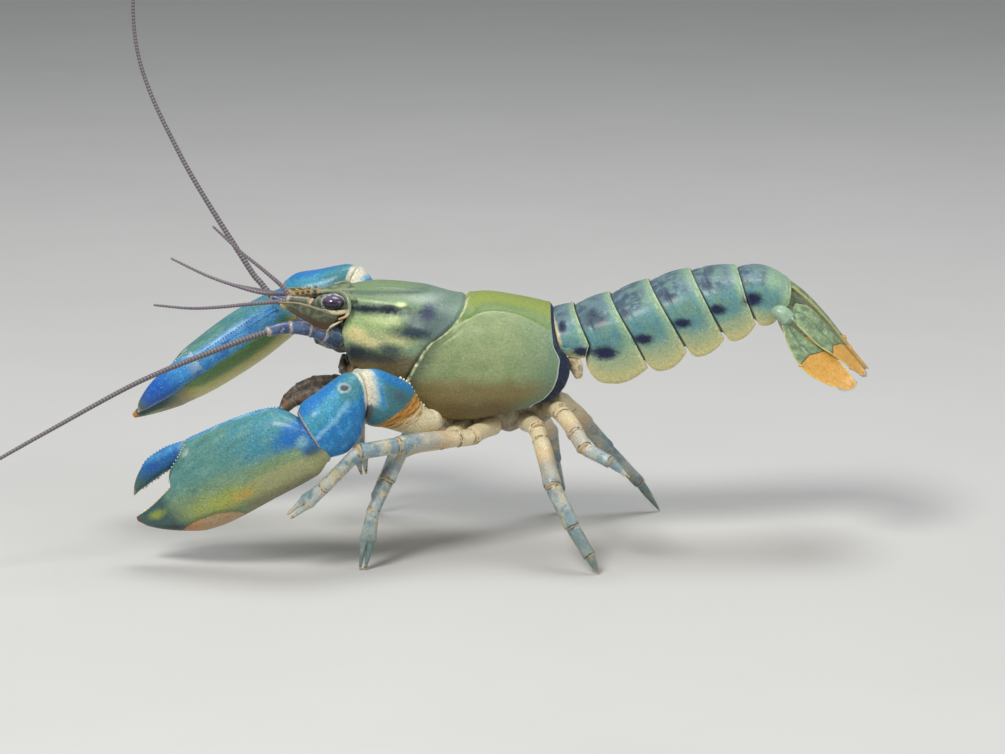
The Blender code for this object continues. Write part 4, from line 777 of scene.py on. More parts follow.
def wrist_coat():
    coat, warp, mottle = claw_base("claw_wrist")
    s, h, run = coat.a, coat.b, coat.c
    coat.start((18, 122, 186), (62, 148, 176), coat.spread(h + warp, 0.5, 3.0))
    coat.fade((6, 98, 178), h + warp + s * 0.3, -0.6, -3.0, 0.85)
    coat.lay((64, 166, 220), coat.patches(0.5, 0.64, 1.4, 4.0) * 0.5)
    coat.lay((70, 124, 116), coat.oval(1.0, 3.0, 2.4, 1.6, warp * 0.5, 0.6) * 0.6)
    # painted highlight: a pale streak along the upper face of the wrist
    streak = coat.spread(abs(h - 1.9 + (s - 4.0) * 0.12 + warp * 0.4), 0.7, 0.05) * coat.spread(s, 2.0, 4.0)
    coat.lay((140, 196, 228), streak * 0.65)
    coat.fade((12, 112, 204), h + warp * 0.4, 4.2, 4.8, 0.7)
    band = coat.spread(run + warp * 0.5, 1.0, 0.5) * coat.spread(h + warp, -2.4, -1.2)
    coat.lay((228, 222, 196), band * 0.9)
    coat.lay((98, 84, 72), coat.spread(run + warp * 0.3, 0.8, 0.2) * coat.spread(h + warp, -1.0, -2.2) * 0.9)

    def round_mark(wide, tall, soft):
        x, y, z = WRIST_MARK
        scale, shift = (1 / wide, 0.3, 1 / tall), (-x / wide, -y * 0.3, -z / tall)
        return coat.patch(coat.place, scale, shift, warp * 0.2, soft)
    coat.lay((150, 184, 194), round_mark(1.15, 0.75, 0.25) * 0.85)
    coat.lay((84, 80, 80), round_mark(0.66, 0.42, 0.3))
    coat.fade((166, 146, 132), run + warp * 0.04, 9.5, 9.62)
    coat.fade((24, 92, 150), run + warp * 0.04, 9.74, 9.84)
    return granular(coat, mottle, 0.32)


def arm_coat():
    coat, warp, mottle = claw_base("claw_arm")
    s, h, elbow = coat.a, coat.b, coat.c
    fine = coat.drift(2.4, 0.7, 5.0, 0.7, where=coat.chart)
    coat.start((62, 124, 134), (22, 122, 186), coat.spread(h + warp * 0.6, 2.4, 4.0))
    coat.lay((70, 84, 100), coat.oval(9.6, 1.8, 1.8, 0.9, warp * 0.6, 0.8) * 0.6)
    corner = (s + h * 0.75 - 8.6) * 0.8 + warp * 0.3 + fine * 0.2
    lines = coat.node("ShaderNodeCombineXYZ", {}, {0: (s + h * 0.75) * 0.8, 1: (h - s * 0.75) * 0.16, 2: 0.0})
    streaks = coat.patches(0.4, 0.66, 0.55, 5.0, 0.65, where=lines)
    cream = coat.blend((255, 246, 208), (240, 208, 136), streaks * coat.spread(corner, -6.0, -2.4))
    umber = coat.blend((222, 158, 60), (150, 98, 34), streaks)
    coat.fade(umber, corner, 0.3, -0.4)
    coat.fade(cream, corner + streaks * 1.6, -0.8, -4.0)
    coat.lay((96, 176, 216), coat.spread(elbow + warp * 0.5, 3.8, 2.0) * coat.spread(h, -1.5, 0.0) * 0.85)
    coat.lay((34, 128, 196),
             coat.spread(abs(elbow - 2.6 + warp * 0.3), 0.4, 0.05) * coat.spread(h, -1.5, 0.0) * 0.5)
    band = (coat.spread(elbow + warp * 0.6 + fine * 0.3 - h * 0.14, 2.3, 0.7)
            * coat.spread(h + warp, -1.6, -0.4))
    band_tone = coat.blend((240, 230, 202), (160, 186, 184), coat.patches(0.46, 0.7, 1.6, 5.0))
    coat.lay(band_tone, band * 0.95)
    coat.lay((92, 84, 76),
             coat.spread(elbow + warp * 0.4, 1.0, 0.3) * coat.spread(h + warp, -0.6, -1.8) * 0.9)
    return granular(coat, mottle, 0.36)


def limb_coat():
    """Grey-blue limbs, cream towards the body (c is the distance from the hip), tan at the joints."""
    coat = Coat("limb")
    warp = coat.drift(2.4, 1.2, 5.0, 0.6)
    mottle = coat.cloud(0.35, 5.0, 0.75)
    joint = coat.to_joint()
    coat.start((138, 160, 164), (104, 130, 142), coat.patches(0.38, 0.66, 2.6, 4.0) * 0.8)
    coat.lay((206, 208, 196), coat.patches(0.46, 0.6, 3.4, 4.0) * 0.55)
    coat.lay((214, 192, 138), coat.patches(0.5, 0.64, 2.1, 5.0) * 0.6)
    coat.lay((84, 92, 96), coat.patches(0.56, 0.7, 0.8, 5.0) * 0.5)
    coat.fade((104, 124, 116), coat.z + warp, 10.0, 4.0, 0.6)
    coat.fade((190, 178, 156), coat.c + warp * 1.6, 21.0, 15.0, 0.7)
    coat.fade((214, 164, 96), abs(coat.c - 12.5 + warp * 2.0), 2.4, 0.4, 0.55)
    coat.fade((224, 208, 168), coat.c + warp * 1.6, 15.0, 10.0, 0.95)
    coat.fade((198, 164, 108), joint + warp * 0.4, 0.66, 0.15, 0.85)
    coat.lay((78, 50, 30),
             coat.spread(abs(joint - 0.6 + warp * 0.3), 0.18, 0.02) * coat.patches(0.44, 0.54, 0.8) * 0.85)
    coat.speckle(0.6)
    bumps = ((coat.cloud(0.3), 0.07), (coat.grains(0.5), 0.03))
    return coat.finish(0.36 + mottle * 0.2, bumps, 0.3, 0.25)


def jaw_leg_coat():
    """The jaw legs: grey-brown with rusty patches."""
    coat = Coat("jaw_leg")
    warp = coat.drift(1.4, 1.0, 4.0)
    coat.start((112, 98, 82), (68, 66, 62), coat.patches(0.4, 0.6, 1.0, 5.0))
    coat.lay((150, 104, 74), coat.patches(0.54, 0.66, 1.3, 4.0) * 0.6)
    joint = coat.to_joint()
    coat.fade((150, 142, 126), joint + warp * 0.5, 0.6, 0.1, 0.5)
    return coat.finish(0.5, ((coat.cloud(0.3), 0.08),), 0.15, 0.3)


def feeler_coat(name, dark, pale, period, share):
    """Feelers: fine pale rings on a darker ground."""
    coat = Coat(name)
    wave = coat.sum("FRACT", coat.a / period)
    ring = coat.spread(abs(wave - 0.5), share, share - 0.18)
    coat.start(dark, pale, ring * 0.5)
    coat.lay((96, 92, 110), coat.patches(0.5, 0.7, 3.0) * 0.5)
    return coat.finish(0.42, ((coat.cloud(0.3), 0.02),), 0.2, 0.3)


def stem_coat(name, body, dark, pale):
    """Stem of a feeler: lengths mottled with a dark tone, parted by pale rings."""
    coat = Coat(name)
    warp = coat.drift(1.6, 0.9, 4.0)
    joint = coat.to_joint()
    coat.start(body, dark, coat.patches(0.38, 0.66, 1.6, 4.0) * 0.8)
    coat.lay(pale, coat.patches(0.54, 0.68, 0.8, 4.0) * 0.5)
    coat.fade((40, 64, 72), coat.x + warp, -29.4, -27.4, 0.7)
    coat.fade((208, 182, 150), joint + warp * 0.6, 0.85, 0.35, 0.6)
    return coat.finish(0.34, ((coat.cloud(0.3), 0.03),), 0.4, 0.2)


def scale_coat():
    """The antennal scale: olive grey above and umber below, with a thin pale upper line."""
    coat = Coat("antennal_scale")
    warp = coat.drift(0.8, 1.0, 4.0)
    coat.start((108, 110, 84), (66, 74, 62), coat.patches(0.4, 0.6, 0.9, 5.0))
    coat.fade((170, 160, 122), coat.a + warp * 0.12, 0.07, 0.02, 0.4)
    coat.fade((66, 46, 28), coat.a + warp * 0.3, 0.4, 0.7, 0.85)
    coat.fade((196, 150, 72), coat.b + warp * 0.1, 0.88, 1.0, 0.7)
    return coat.finish(0.4, ((coat.cloud(0.35), 0.06),), 0.35, 0.22)


def face_coat():
    """Front of the head below the eyes: cream, grey and umber patches, darker below as painted shade."""
    coat = Coat("face")
    coat.start((118, 118, 98), (66, 64, 56), coat.patches(0.36, 0.6, 1.0, 4.0))
    coat.lay((196, 182, 148), coat.patches(0.56, 0.66, 0.7, 4.0) * 0.8)
    # painted shade: darker from the middle of the face down and over the mouth field
    coat.fade((38, 42, 46), coat.z, 35.4, 33.0, 0.7)
    return coat.finish(0.42, ((coat.cloud(0.35), 0.1),), 0.3, 0.25)


def rostrum_coat():
    """Olive beak with tan keels, painted shade on its lower sides and yellow teeth near its tip."""
    coat = Coat("rostrum")
    warp = coat.drift(1.6, 1.0, 4.0)
    coat.start((122, 140, 104), (84, 100, 74), coat.patches(0.4, 0.62, 1.2, 4.0))
    coat.lay((158, 162, 122),
             coat.spread(coat.b + warp * 0.1, 0.62, 0.86) * coat.spread(coat.c, 0.3, 0.6) * 0.7)
    # painted shade: the lower sides of the beak, under the keels
    coat.lay((48, 62, 68), coat.spread(coat.c, 0.5, 0.1) * coat.spread(coat.b, 0.7, 0.95) * 0.9)
    coat.lay((166, 138, 96),
             coat.spread(coat.x + warp * 2.0, -28.0, -31.0) * coat.patches(0.36, 0.56, 0.8, 4.0) * 0.8)
    coat.fade((182, 150, 88), coat.x + warp, -31.6, -33.4, 0.6)
    return coat.finish(0.42, ((coat.cloud(0.3), 0.07),), 0.28, 0.25)


def fan_coat(name, seam):
    """Tail fan: pale green at the root and orange beyond the seam, with a painted highlight along the blade
    edges.
    """
    coat = Coat(name)
    warp = coat.drift(1.8, 1.2, 5.0, 0.6)
    across, along = coat.a, coat.b
    veins = abs(coat.sum("SINE", across * 34.0 + warp * 1.4))
    line_at_seam = along + warp * 0.012 - abs(across - 0.5) * 0.1
    coat.start((138, 160, 120), (98, 120, 90), coat.patches(0.4, 0.62, 1.4, 5.0) * 0.8)
    coat.lay((178, 200, 164), coat.patches(0.52, 0.66, 0.9, 4.0) * 0.45)
    coat.fade((74, 96, 92), abs(across - 0.42 + warp * 0.03), 0.07, 0.01, 0.5)
    coat.fade((160, 190, 168), coat.c, 0.6, 0.9, 0.65)
    distal = coat.blend((206, 154, 70), (210, 162, 82), veins)
    distal = coat.blend(distal, (228, 170, 70), coat.spread(abs(across - 0.5), 0.38, 0.48) * 0.8)
    distal = coat.blend(distal, (182, 126, 56), coat.patches(0.5, 0.7, 0.8, 4.0) * 0.45)
    coat.fade((92, 62, 28), abs(line_at_seam - seam), 0.02, 0.004, 0.75)
    coat.lay(distal, coat.spread(line_at_seam, seam - 0.004, seam + 0.012))
    # painted highlight: a pale yellow rim along the edges of each blade
    coat.fade((212, 196, 110), coat.c, 0.05, 0.012, 0.75)
    coat.speckle(0.45)
    bumps = ((veins, 0.012), (coat.cloud(0.3), 0.05))
    return coat.finish(0.36, bumps, 0.32, 0.25)


def eye_coat():
    """Dark violet cornea, lighter towards the top as a painted highlight, with fine facets under a clear
    gloss.
    """
    coat = Coat("eye")
    warp = coat.drift(1.2, 0.8, 4.0)
    # painted highlight: the cornea turns lighter towards its top
    coat.start((24, 18, 34), (98, 82, 108), coat.spread(coat.z + warp, 41.2, 42.5))
    coat.fade((58, 34, 62), coat.grains(0.3), 0.4, 0.15, 0.35)
    return coat.finish(0.2, ((coat.grains(0.09), 0.005),), 0.9, 0.05)


def stalk_coat():
    """Eye stalk: grey-green with a cream lower lid."""
    coat = Coat("eyestalk")
    warp = coat.drift(1.4, 0.6, 4.0)
    coat.start((130, 138, 112), (70, 84, 78), coat.patches(0.4, 0.62, 0.9, 4.0))
    coat.fade((222, 208, 158), coat.z + warp * 0.4, 40.5, 39.9, 0.9)
    coat.fade((164, 110, 74), coat.z + warp * 0.4, 39.7, 39.2, 0.6)
    return coat.finish(0.32, ((coat.cloud(0.3), 0.06),), 0.45, 0.15)


def fold_coat():
    """Folds in grey-green, cream where they turn in below the eye, and the pale lobe below the first ring."""
    coat = Coat("fold")
    fine = coat.drift(1.6, 0.6, 5.0)
    coat.start((206, 194, 156), (156, 144, 116), coat.patches(0.42, 0.62, 0.6, 4.0))
    coat.fade((122, 136, 108), coat.z + fine, 39.6, 40.6, 0.9)
    rust = coat.spread(abs(coat.z - 39.1 + fine * 0.3), 0.5, 0.1) * coat.spread(coat.x, -24.9, -25.6)
    coat.lay((176, 124, 86), rust * 0.7)
    return coat.finish(0.36, ((coat.cloud(0.3), 0.06),), 0.4, 0.2)


def silver_coat():
    coat = Coat("eye_rim")
    coat.start((206, 214, 214), (120, 136, 140), coat.patches(0.42, 0.62, 0.5))
    return coat.finish(0.26, ((coat.cloud(0.2), 0.02),), 0.5, 0.1)


def horn_coat():
    """Jaws: horn brown, ivory where they meet."""
    coat = Coat("jaw_horn")
    coat.start((134, 110, 80), (92, 76, 60), coat.patches(0.4, 0.62, 0.9, 4.0))
    coat.fade((204, 190, 152), coat.side, 2.0, 0.7, 0.8)
    return coat.finish(0.32, ((coat.cloud(0.3), 0.05),), 0.35, 0.2)


def tooth_coat():
    coat = Coat("teeth")
    coat.start((238, 234, 214), (212, 196, 150), coat.cloud(0.5))
    return coat.finish(0.3, ((coat.cloud(0.2), 0.02),), 0.5, 0.15)


def bristle_coat():
    coat = Coat("bristles")
    coat.start((150, 136, 110), (196, 182, 150), coat.cloud(0.8))
    return coat.finish(0.6, ((coat.cloud(0.2), 0.01),))


def joint_coat():
    """Soft skin in the joints."""
    coat = Coat("joint_skin")
    coat.start((206, 206, 190), (150, 146, 132), coat.patches(0.4, 0.66, 0.7, 4.0))
    return coat.finish(0.5, ((coat.cloud(0.25), 0.08),), 0.2, 0.3)


# Carapace

half_width, low_half_width = line(HALF_WIDTH), line(LOW_HALF_WIDTH)
top_line, widest_line, low_line = line(TOP_LINE), line(WIDEST_LINE), line(LOW_LINE)
cheek_edge, groove, rear_edge, rim_width = line(CHEEK_EDGE), line(GROOVE), line(REAR_EDGE), line(RIM_WIDTH)


def shell_places(x, q, side):
    """Places on the carapace at X, a share q of the way from the ridge down to the middle of the belly."""
    half, low_half = half_width(x), low_half_width(x)
    top, widest, low = top_line(x), widest_line(x), low_line(x)
    roof = np.clip(q / ROOF_SHARE, 0, 1) * pi / 2
    flank = np.clip((q - ROOF_SHARE) / FLANK_SHARE, 0, 1)
    floor = np.clip((q - FLOOR_START) / 0.1, 0, 1)
    corner = np.sin(2 * roof) ** 2
    y = (half * (np.sin(roof) + 0.02 * corner) + (low_half - half) * flank ** 1.8) * (1 - floor)
    z = widest + (top - widest) * (np.cos(roof) + 0.012 * corner) + (low - widest) * flank + 0.7 * floor
    return np.stack((x, y * side, z), axis=-1)


def shell_plate(front, rear, rows, around):
    """Rows of places on the carapace from one edge to another, with their distances to both edges."""
    turn = np.arange(around) / around * 2
    q = np.where(turn <= 1, turn, 2 - turn)
    side = np.where(turn <= 1, 1.0, -1.0)
    share = np.linspace(0, 1, rows)
    share = (share + 0.5 - 0.5 * np.cos(share * pi)) / 2
    v, q = np.meshgrid(share, q, indexing="ij")
    side = np.broadcast_to(side, v.shape)
    x = v * 0.0
    for _ in range(8):
        z = shell_places(x, q, side)[..., 2]
        x = front(z) + v * (rear(z) - front(z))
    places = shell_places(x, q, side)
    z = places[..., 2]
    return places, x - front(z), rear(z) - x


def sunk(places, depth):
    """Move places towards the body's axis."""
    axis = np.array((0.0, 0.0, 33.0))
    out = (places - axis) * (0, 1, 1)
    out /= np.maximum(np.linalg.norm(out, axis=-1, keepdims=True), 0.5)
    return places - out * depth[..., None]


def turned_in(places, chart):
    """Fold both open edges of a plate inwards and close them inside."""
    def fold(edge, inner):
        centre = edge.mean(axis=0)
        out = edge - inner
        out /= np.maximum(np.linalg.norm(out, axis=1, keepdims=True), 1e-6)
        return [edge + out * 0.05 + (centre - edge) * 0.02, edge + (centre - edge) * 0.07, edge - out * 0.8
                + (centre - edge) * 0.14, np.repeat((centre - out.mean(axis=0))[None], len(edge), 0)]
    first, last = fold(places[0], places[1]), fold(places[-1], places[-2])
    rows = np.array(first[::-1] + list(places) + last)
    charts = np.concatenate((np.repeat(chart[:1], 4, axis=0), chart, np.repeat(chart[-1:], 4, axis=0)))
    return rows, charts


def make_head():
    places, front, rear = shell_plate(cheek_edge, lambda z: groove(z) - 0.08, 190, 300)
    flank = np.abs(places) * (0, 1, 0) + places * (1, 0, 1)
    z = flank[..., 2]
    lift = 0.17 * near(flank, ((-24.9, 0, 41.8), (-21.0, 0, 41.75), (-16.2, 0, 41.2)), 0.5, (0, 2))
    lift -= 0.05 * near(flank, ((-24.5, 0, 40.9), (-17.0, 0, 40.5)), 0.8, (0, 2))
    lift -= 0.12 * near(flank, ((-25.0, 3.6, 0), (-17.5, 4.0, 0), (-13.5, 3.4, 0)), 0.4, (0, 1)) * (z > 40)
    lift += 0.1 * near(flank, ((-26.0, 2.9, 0), (-20.0, 3.3, 0), (-16.0, 3.2, 0)), 0.4, (0, 1)) * (z > 41)
    lift += 0.14 * near(flank, ((-15.2, 0, 37.8), (-11.0, 0, 36.6)), 0.9, (0, 2))
    lift -= 0.12 * near(flank, ((-19.5, 0, 36.8), (-15.5, 0, 35.2), (-13.2, 0, 34.4)), 0.5, (0, 2))
    lift += 0.1 * np.sin(flank[..., 0] * 1.1) * np.sin(z * 1.3) * np.clip((40 - z) / 4, 0, 1)
    lift *= flank[..., 1] > 2.0
    lift += 0.22 * np.exp(-((front - 0.35) / 0.3) ** 2) * np.clip(41.5 - z, 0, 1)
    lift -= 0.1 * np.exp(-((front - 1.1) / 0.3) ** 2) + 0.38 * np.exp(-(rear / 0.35) ** 2)
    places = sunk(places, -lift)
    rows, chart = turned_in(places, np.stack((front, rear, front * 0), axis=-1))
    form = new_form()
    skin(form, rows, chart)
    dressed("head_shell", form, head_coat(), "shell", "head")


def make_thorax():
    places, front, rear = shell_plate(lambda z: groove(z) + 0.08, rear_edge, 200, 320)
    z = places[..., 2]
    width = rim_width(z)
    flank = np.abs(places) * (0, 1, 0) + places * (1, 0, 1)
    fold = back_fold(flank[..., 0])
    on_back = np.clip((z - 37.0) / 1.0, 0, 1)
    lift = -0.14 * np.exp(-((flank[..., 1] - fold) / 0.22) ** 2) * on_back
    lift += 0.06 * np.exp(-((flank[..., 1] - fold - 0.5) / 0.3) ** 2) * on_back
    lift += 0.12 * np.exp(-((front - 0.55) / 0.28) ** 2) - 0.34 * np.exp(-(front / 0.3) ** 2)
    lift -= 0.3 / (1 + np.exp((rear - width) / 0.06)) - 0.1 * np.exp(-((rear - width - 0.15) / 0.15) ** 2)
    lift += 0.14 * np.exp(-((rear - 0.3) / 0.2) ** 2) - 0.2 * np.exp(-(rear / 0.2) ** 2)
    lift -= 0.12 * np.exp(-((front - 1.9) / 0.4) ** 2) * np.clip((z - 33) / 3, 0, 1) * (z < 40.6)
    places = sunk(places, -lift)
    rows, chart = turned_in(places, np.stack((front, rear / width, front * 0), axis=-1))
    form = new_form()
    skin(form, rows, chart)
    dressed("thorax_shell", form, thorax_coat(), "shell", "thorax")


def make_rostrum():
    """The beak: a flat top between two keels that run back onto the head, with small teeth near the tip."""
    form = new_form()
    top, half, thick = (line([(row[0], row[i]) for row in ROSTRUM]) for i in (1, 2, 3))
    x = np.linspace(-35.2, -14.5, 150)
    angle = turns(64)
    wide, tall = np.cos(angle), np.sin(angle)
    rows, chart = [], []
    for place in x:
        w, t = half(place), thick(place)
        keel = 0.28 * min(1.0, w / 1.2)
        y = wide * w
        z = top(place) - t / 2 + tall * t / 2
        keeled = z - keel * (1 - np.abs(wide) ** 4) + keel * 0.2 * np.exp(-(wide / 0.12) ** 2)
        z = np.where(tall > 0, keeled, z)
        rows.append(np.stack((y * 0 + place, y, z), axis=1))
        chart.append(np.stack((y * 0 + place, np.abs(wide), tall), axis=1))
    rows = rounded(np.array(rows), 0.2, 0.2, 4)
    chart = np.concatenate(([chart[0]] * 4, chart, [chart[-1]] * 4))
    skin(form, rows, chart)
    for side in (-1, 1):
        for place in ROSTRAL_TEETH:
            root = (place, side * half(place) * 0.9, top(place) - 0.35)
            thorn(form, root, (-0.85, side * 0.35, 0.45), 0.3, 0.85, (place, 1.0, 1.0))
    thorn(form, (-34.9, 0, 41.75), (-1, 0, 0.12), 0.32, 0.9, (-35, 1.0, 1.0))
    dressed("rostrum", form, rostrum_coat(), "shell", "head")


def make_face(coat):
    """The block below the eyes, with the folds where the feelers start."""
    form = new_form()
    x = np.linspace(-30.2, -21.0, 60)
    top, widest, low, half = (line([(row[0], row[i]) for row in SNOUT]) for i in (1, 2, 3, 4))
    angle = turns(72)
    rows = []
    for place in x:
        y = np.cos(angle) * half(place) * (1 + 0.1 * np.sin(angle) ** 2)
        above, below = top(place) - widest(place), widest(place) - low(place)
        z = widest(place) + np.sin(angle) * np.where(np.sin(angle) > 0, above, below)
        rows.append(np.stack((y * 0 + place, y, z), axis=1))
    skin(form, rounded(np.array(rows), 0.8, 0.2))
    raised(form, lambda p: 0.25 * np.sin(p[:, 0] * 1.7) * np.cos(p[:, 1] * 1.3)
           - 0.4 * near(p, ((-30.5, 0, 0), (-25, 0, 0)), 0.5, (0, 1)))
    for side in (-1, 1):
        for x, y, z, size in ((-26.4, 5.4, 34.6, 0.6), (-28.2, 4.4, 34.4, 0.6)):
            knob(form, (x, side * y, z), (-0.4, side * 0.8, 0.2), size, size * 0.6)
    dressed("face_plate", form, coat, "shell", "head")


def make_sternum():
    form = new_form()
    x = np.linspace(-13.5, 9.3, 60)
    top, low, half = (line([(row[0], row[i]) for row in STERNUM]) for i in (1, 2, 3))
    angle = turns(48)
    rows = [np.stack((angle * 0 + place, np.cos(angle) * half(place) * (1 + 0.12 * np.sin(angle) ** 2),
                      (top(place) + low(place)) / 2 + np.sin(angle) * (top(place) - low(place)) / 2), axis=1)
            for place in x]
    skin(form, rounded(np.array(rows), 0.5, 0.5))
    raised(form, lambda p: 0.3 * np.sin(p[:, 0] * 1.35) * (p[:, 2] < 24)
           - 0.35 * near(p, ((-14, 0, 0), (10, 0, 0)), 0.6, (0, 1)) * (p[:, 2] < 24))
    dressed("sternum_plate", form, belly_coat(), "belly", "sternum")


# Eyes and feelers

def make_eyes(eye, stalk, silver, fold):
    for word, side in SIDES:
        form = new_form()
        # the right eye looks a little down
        centre = mirrored(EYE_CENTRE, side) - (0.0, 0.0, 0.8 if side > 0 else 0.0)
        scale = Matrix.Translation(centre) @ Matrix.Diagonal((1.82, 1.56, 1.27, 1.0))
        bmesh.ops.create_uvsphere(form, u_segments=64, v_segments=48, radius=1.0, matrix=scale)
        dressed("eye_%s_cornea" % word, form, eye, "eye", "eye_" + word)
        form = new_form()
        path = path_through(mirrored(STALK_PATH, side), 30)
        path[:, 2] = np.minimum(path[:, 2], centre[2])
        wide = np.linspace(1.2, 1.9, 30)
        skin(form, rounded(rings_along(path, wide, wide * 0.8, 48), 0.3, 0.9))
        # the socket's swollen lower lid
        lid = Matrix.Translation(centre + (0.25, -side * 0.75, -0.4)) @ Matrix.Diagonal((2.5, 1.35, 1.7, 1.0))
        bmesh.ops.create_uvsphere(form, u_segments=48, v_segments=32, radius=1.0, matrix=lid)
        front = Matrix.Translation(centre + (-1.1, -side * 1.2, -0.1)) @ Matrix.Diagonal((2.0, 1.3, 1.3, 1.0))
        bmesh.ops.create_uvsphere(form, u_segments=48, v_segments=32, radius=1.0, matrix=front)
        lip = path_through(mirrored(LOWER_LID, side), 24)
        tall = np.interp(np.linspace(0, 1, 24), (0, 0.5, 1), (0.16, 0.42, 0.2))
        skin(form, rounded(rings_along(lip, 0.3, tall, 16)))
        dressed("eyestalk_%s_skin" % word, form, stalk, "limb", "eyestalk_" + word)
        form = new_form()
        hoop(form, centre + (0, side * 0.15, 0), 1.88, 1.33, 0.09)
        dressed("eye_%s_rim" % word, form, silver, "eye")
        form = new_form()
        for points, widths in ((ORBIT_FOLD, (0.35, 0.4, 0.3, 0.2)), (CHEEK_FOLD, (0.1, 0.24, 0.24, 0.1))):
            path = path_through(mirrored(points, side), 44)
            wide = np.interp(np.linspace(0, 1, 44), (0, 0.3, 0.7, 1), widths)
            skin(form, rounded(rings_along(path, wide, wide, 20)))
        thorn(form, (-23.9, side * 5.25, 41.75), (-1.0, side * 0.1, 0.08), 0.42, 1.5)
        dressed("orbit_%s_fold" % word, form, fold, "shell")


def segment(form, start, end, first, last, arch=0.0, around=24, steps=26, before=0.0):
    """One length of a limb: narrow where it leaves a joint, a little flared where it reaches the next."""
    share = np.linspace(0, 1, steps)
    start, end = np.array(start, float), np.array(end, float)
    path = start + (end - start) * share[:, None]
    path[:, 2] += arch * np.sin(share * pi)
    shape = line(((0, 0.84), (0.07, 0.95), (0.3, 0.97), (0.7, 0.97), (0.93, 1.05), (1, 0.96)))
    thick = (first + (last - first) * share) * shape(share)
    rows = rounded(rings_along(path, thick, thick, around), first * 0.3, last * 0.35)
    skin(form, rows, lengthwise(rows, before))
    return before + np.linalg.norm(end - start)


def segments(form, points, radii, flare, arch, around=24, steps=26):
    """A limb through several joints, each length a little wider at its far end."""
    for start, end, first, last in zip(points, points[1:], radii, radii[1:]):
        segment(form, start, end, first, last * flare, arch, around, steps)


def make_whip(form, path, first, last, ring, around=12):
    """A thin feeler whose rings swell and pinch along it."""
    path = np.asarray(path)
    run = np.concatenate(([0.0], np.cumsum(np.linalg.norm(np.diff(path, axis=0), axis=1))))
    count = int(run[-1] / ring * 4)
    even = np.linspace(0, run[-1], count)
    path = np.stack([np.interp(even, run, path[:, i]) for i in range(3)], axis=1)
    share = even / run[-1]
    radius = first + (last - first) * share ** 0.8
    radius = radius * (1 + 0.07 * np.cos(2 * pi * even / ring))
    rows = rounded(rings_along(path, radius, radius, around), 0.1, 0.3)
    skin(form, rows, lengthwise(rows))


def make_antennules(coat, stem):
    for word, side in SIDES:
        form = new_form()
        points = mirrored(ANTENNULE_BASE, side)
        for a, b, first, last in zip(points, points[1:], (1.15, 1.05, 0.95), (1.05, 0.95, 0.8)):
            segment(form, a, b, first, last)
        dressed("antennule_%s_stem" % word, form, stem, "feeler", "antennule_" + word)
        form = new_form()
        for path in ANTENNULE_WHIPS[side]:
            make_whip(form, path_through(path, 80), 0.4, 0.2, 0.5)
        dressed("antennule_%s_whips" % word, form, coat, "feeler", "antennule_" + word)


def make_antennae(coat, stem, scale, bristles):
    for word, side in SIDES:
        form = new_form()
        segments(form, ANTENNA_BASE[side], ANTENNA_BASE_RADII, 1.0, 0.1)
        dressed("antenna_%s_stem" % word, form, stem, "feeler", "antenna_base_" + word)
        form = new_form()
        make_whip(form, path_through(FLAGELLUM[side], 300), 0.52, 0.2, 0.56, 14)
        dressed("antenna_%s_whip" % word, form, coat, "feeler", "antenna_" + word)
        form = new_form()
        upper, lower = mirrored(SCALE_UPPER, side), mirrored(SCALE_LOWER, side)
        make_blade(form, upper, lower, 0.7, -0.25 * side, 40, 32, 0.3)
        thick = np.linspace(0.3, 0.14, 40)
        rows = rounded(rings_along(path_through(upper, 40), thick, thick, 16), 0.1, 0.5)
        skin(form, rows, np.zeros(rows.shape) + (0.0, 0.5, 0.0))
        dressed("antennal_scale_%s_blade" % word, form, scale, "feeler", "antennal_scale_" + word)
        form = new_form()
        for place in path_through(lower, 46)[8:]:
            thorn(form, place, (-0.75, -side * 0.3, -0.55), 0.035, 0.9, sides=5)
        for i, place in enumerate(path_through(mirrored(ANTENNULE_BASE, side), 22)[6:]):
            thorn(form, place + (0, 0, 0.6), (-0.6, side * (0.5 - i % 3 * 0.5), 0.7), 0.03, 0.8, sides=5)
        dressed("scale_%s_bristles" % word, form, bristles, "feeler")


def make_jaw_legs(coat, bristles):
    for word, side in SIDES:
        form, hairs = new_form(), new_form()
        points = mirrored(MAXILLIPED, side)
        segments(form, points, MAXILLIPED_RADII, 1.05, 0.08, 20, 16)
        path = path_through(points[2:], 60)
        for i, place in enumerate(path):
            for lean in (-0.4, 0.1, 0.5):
                down = (-0.2 + 0.3 * sin(i * 1.7), -side * (0.4 + lean), -0.9)
                thorn(hairs, place - np.array((0, 0, 0.6)), down, 0.035, 1.1 + 0.4 * sin(i * 2.3), sides=4)
        dressed("jaw_leg_%s" % word, form, coat, "limb", "maxilliped_" + word)
        dressed("jaw_leg_%s_bristles" % word, hairs, bristles, "limb")


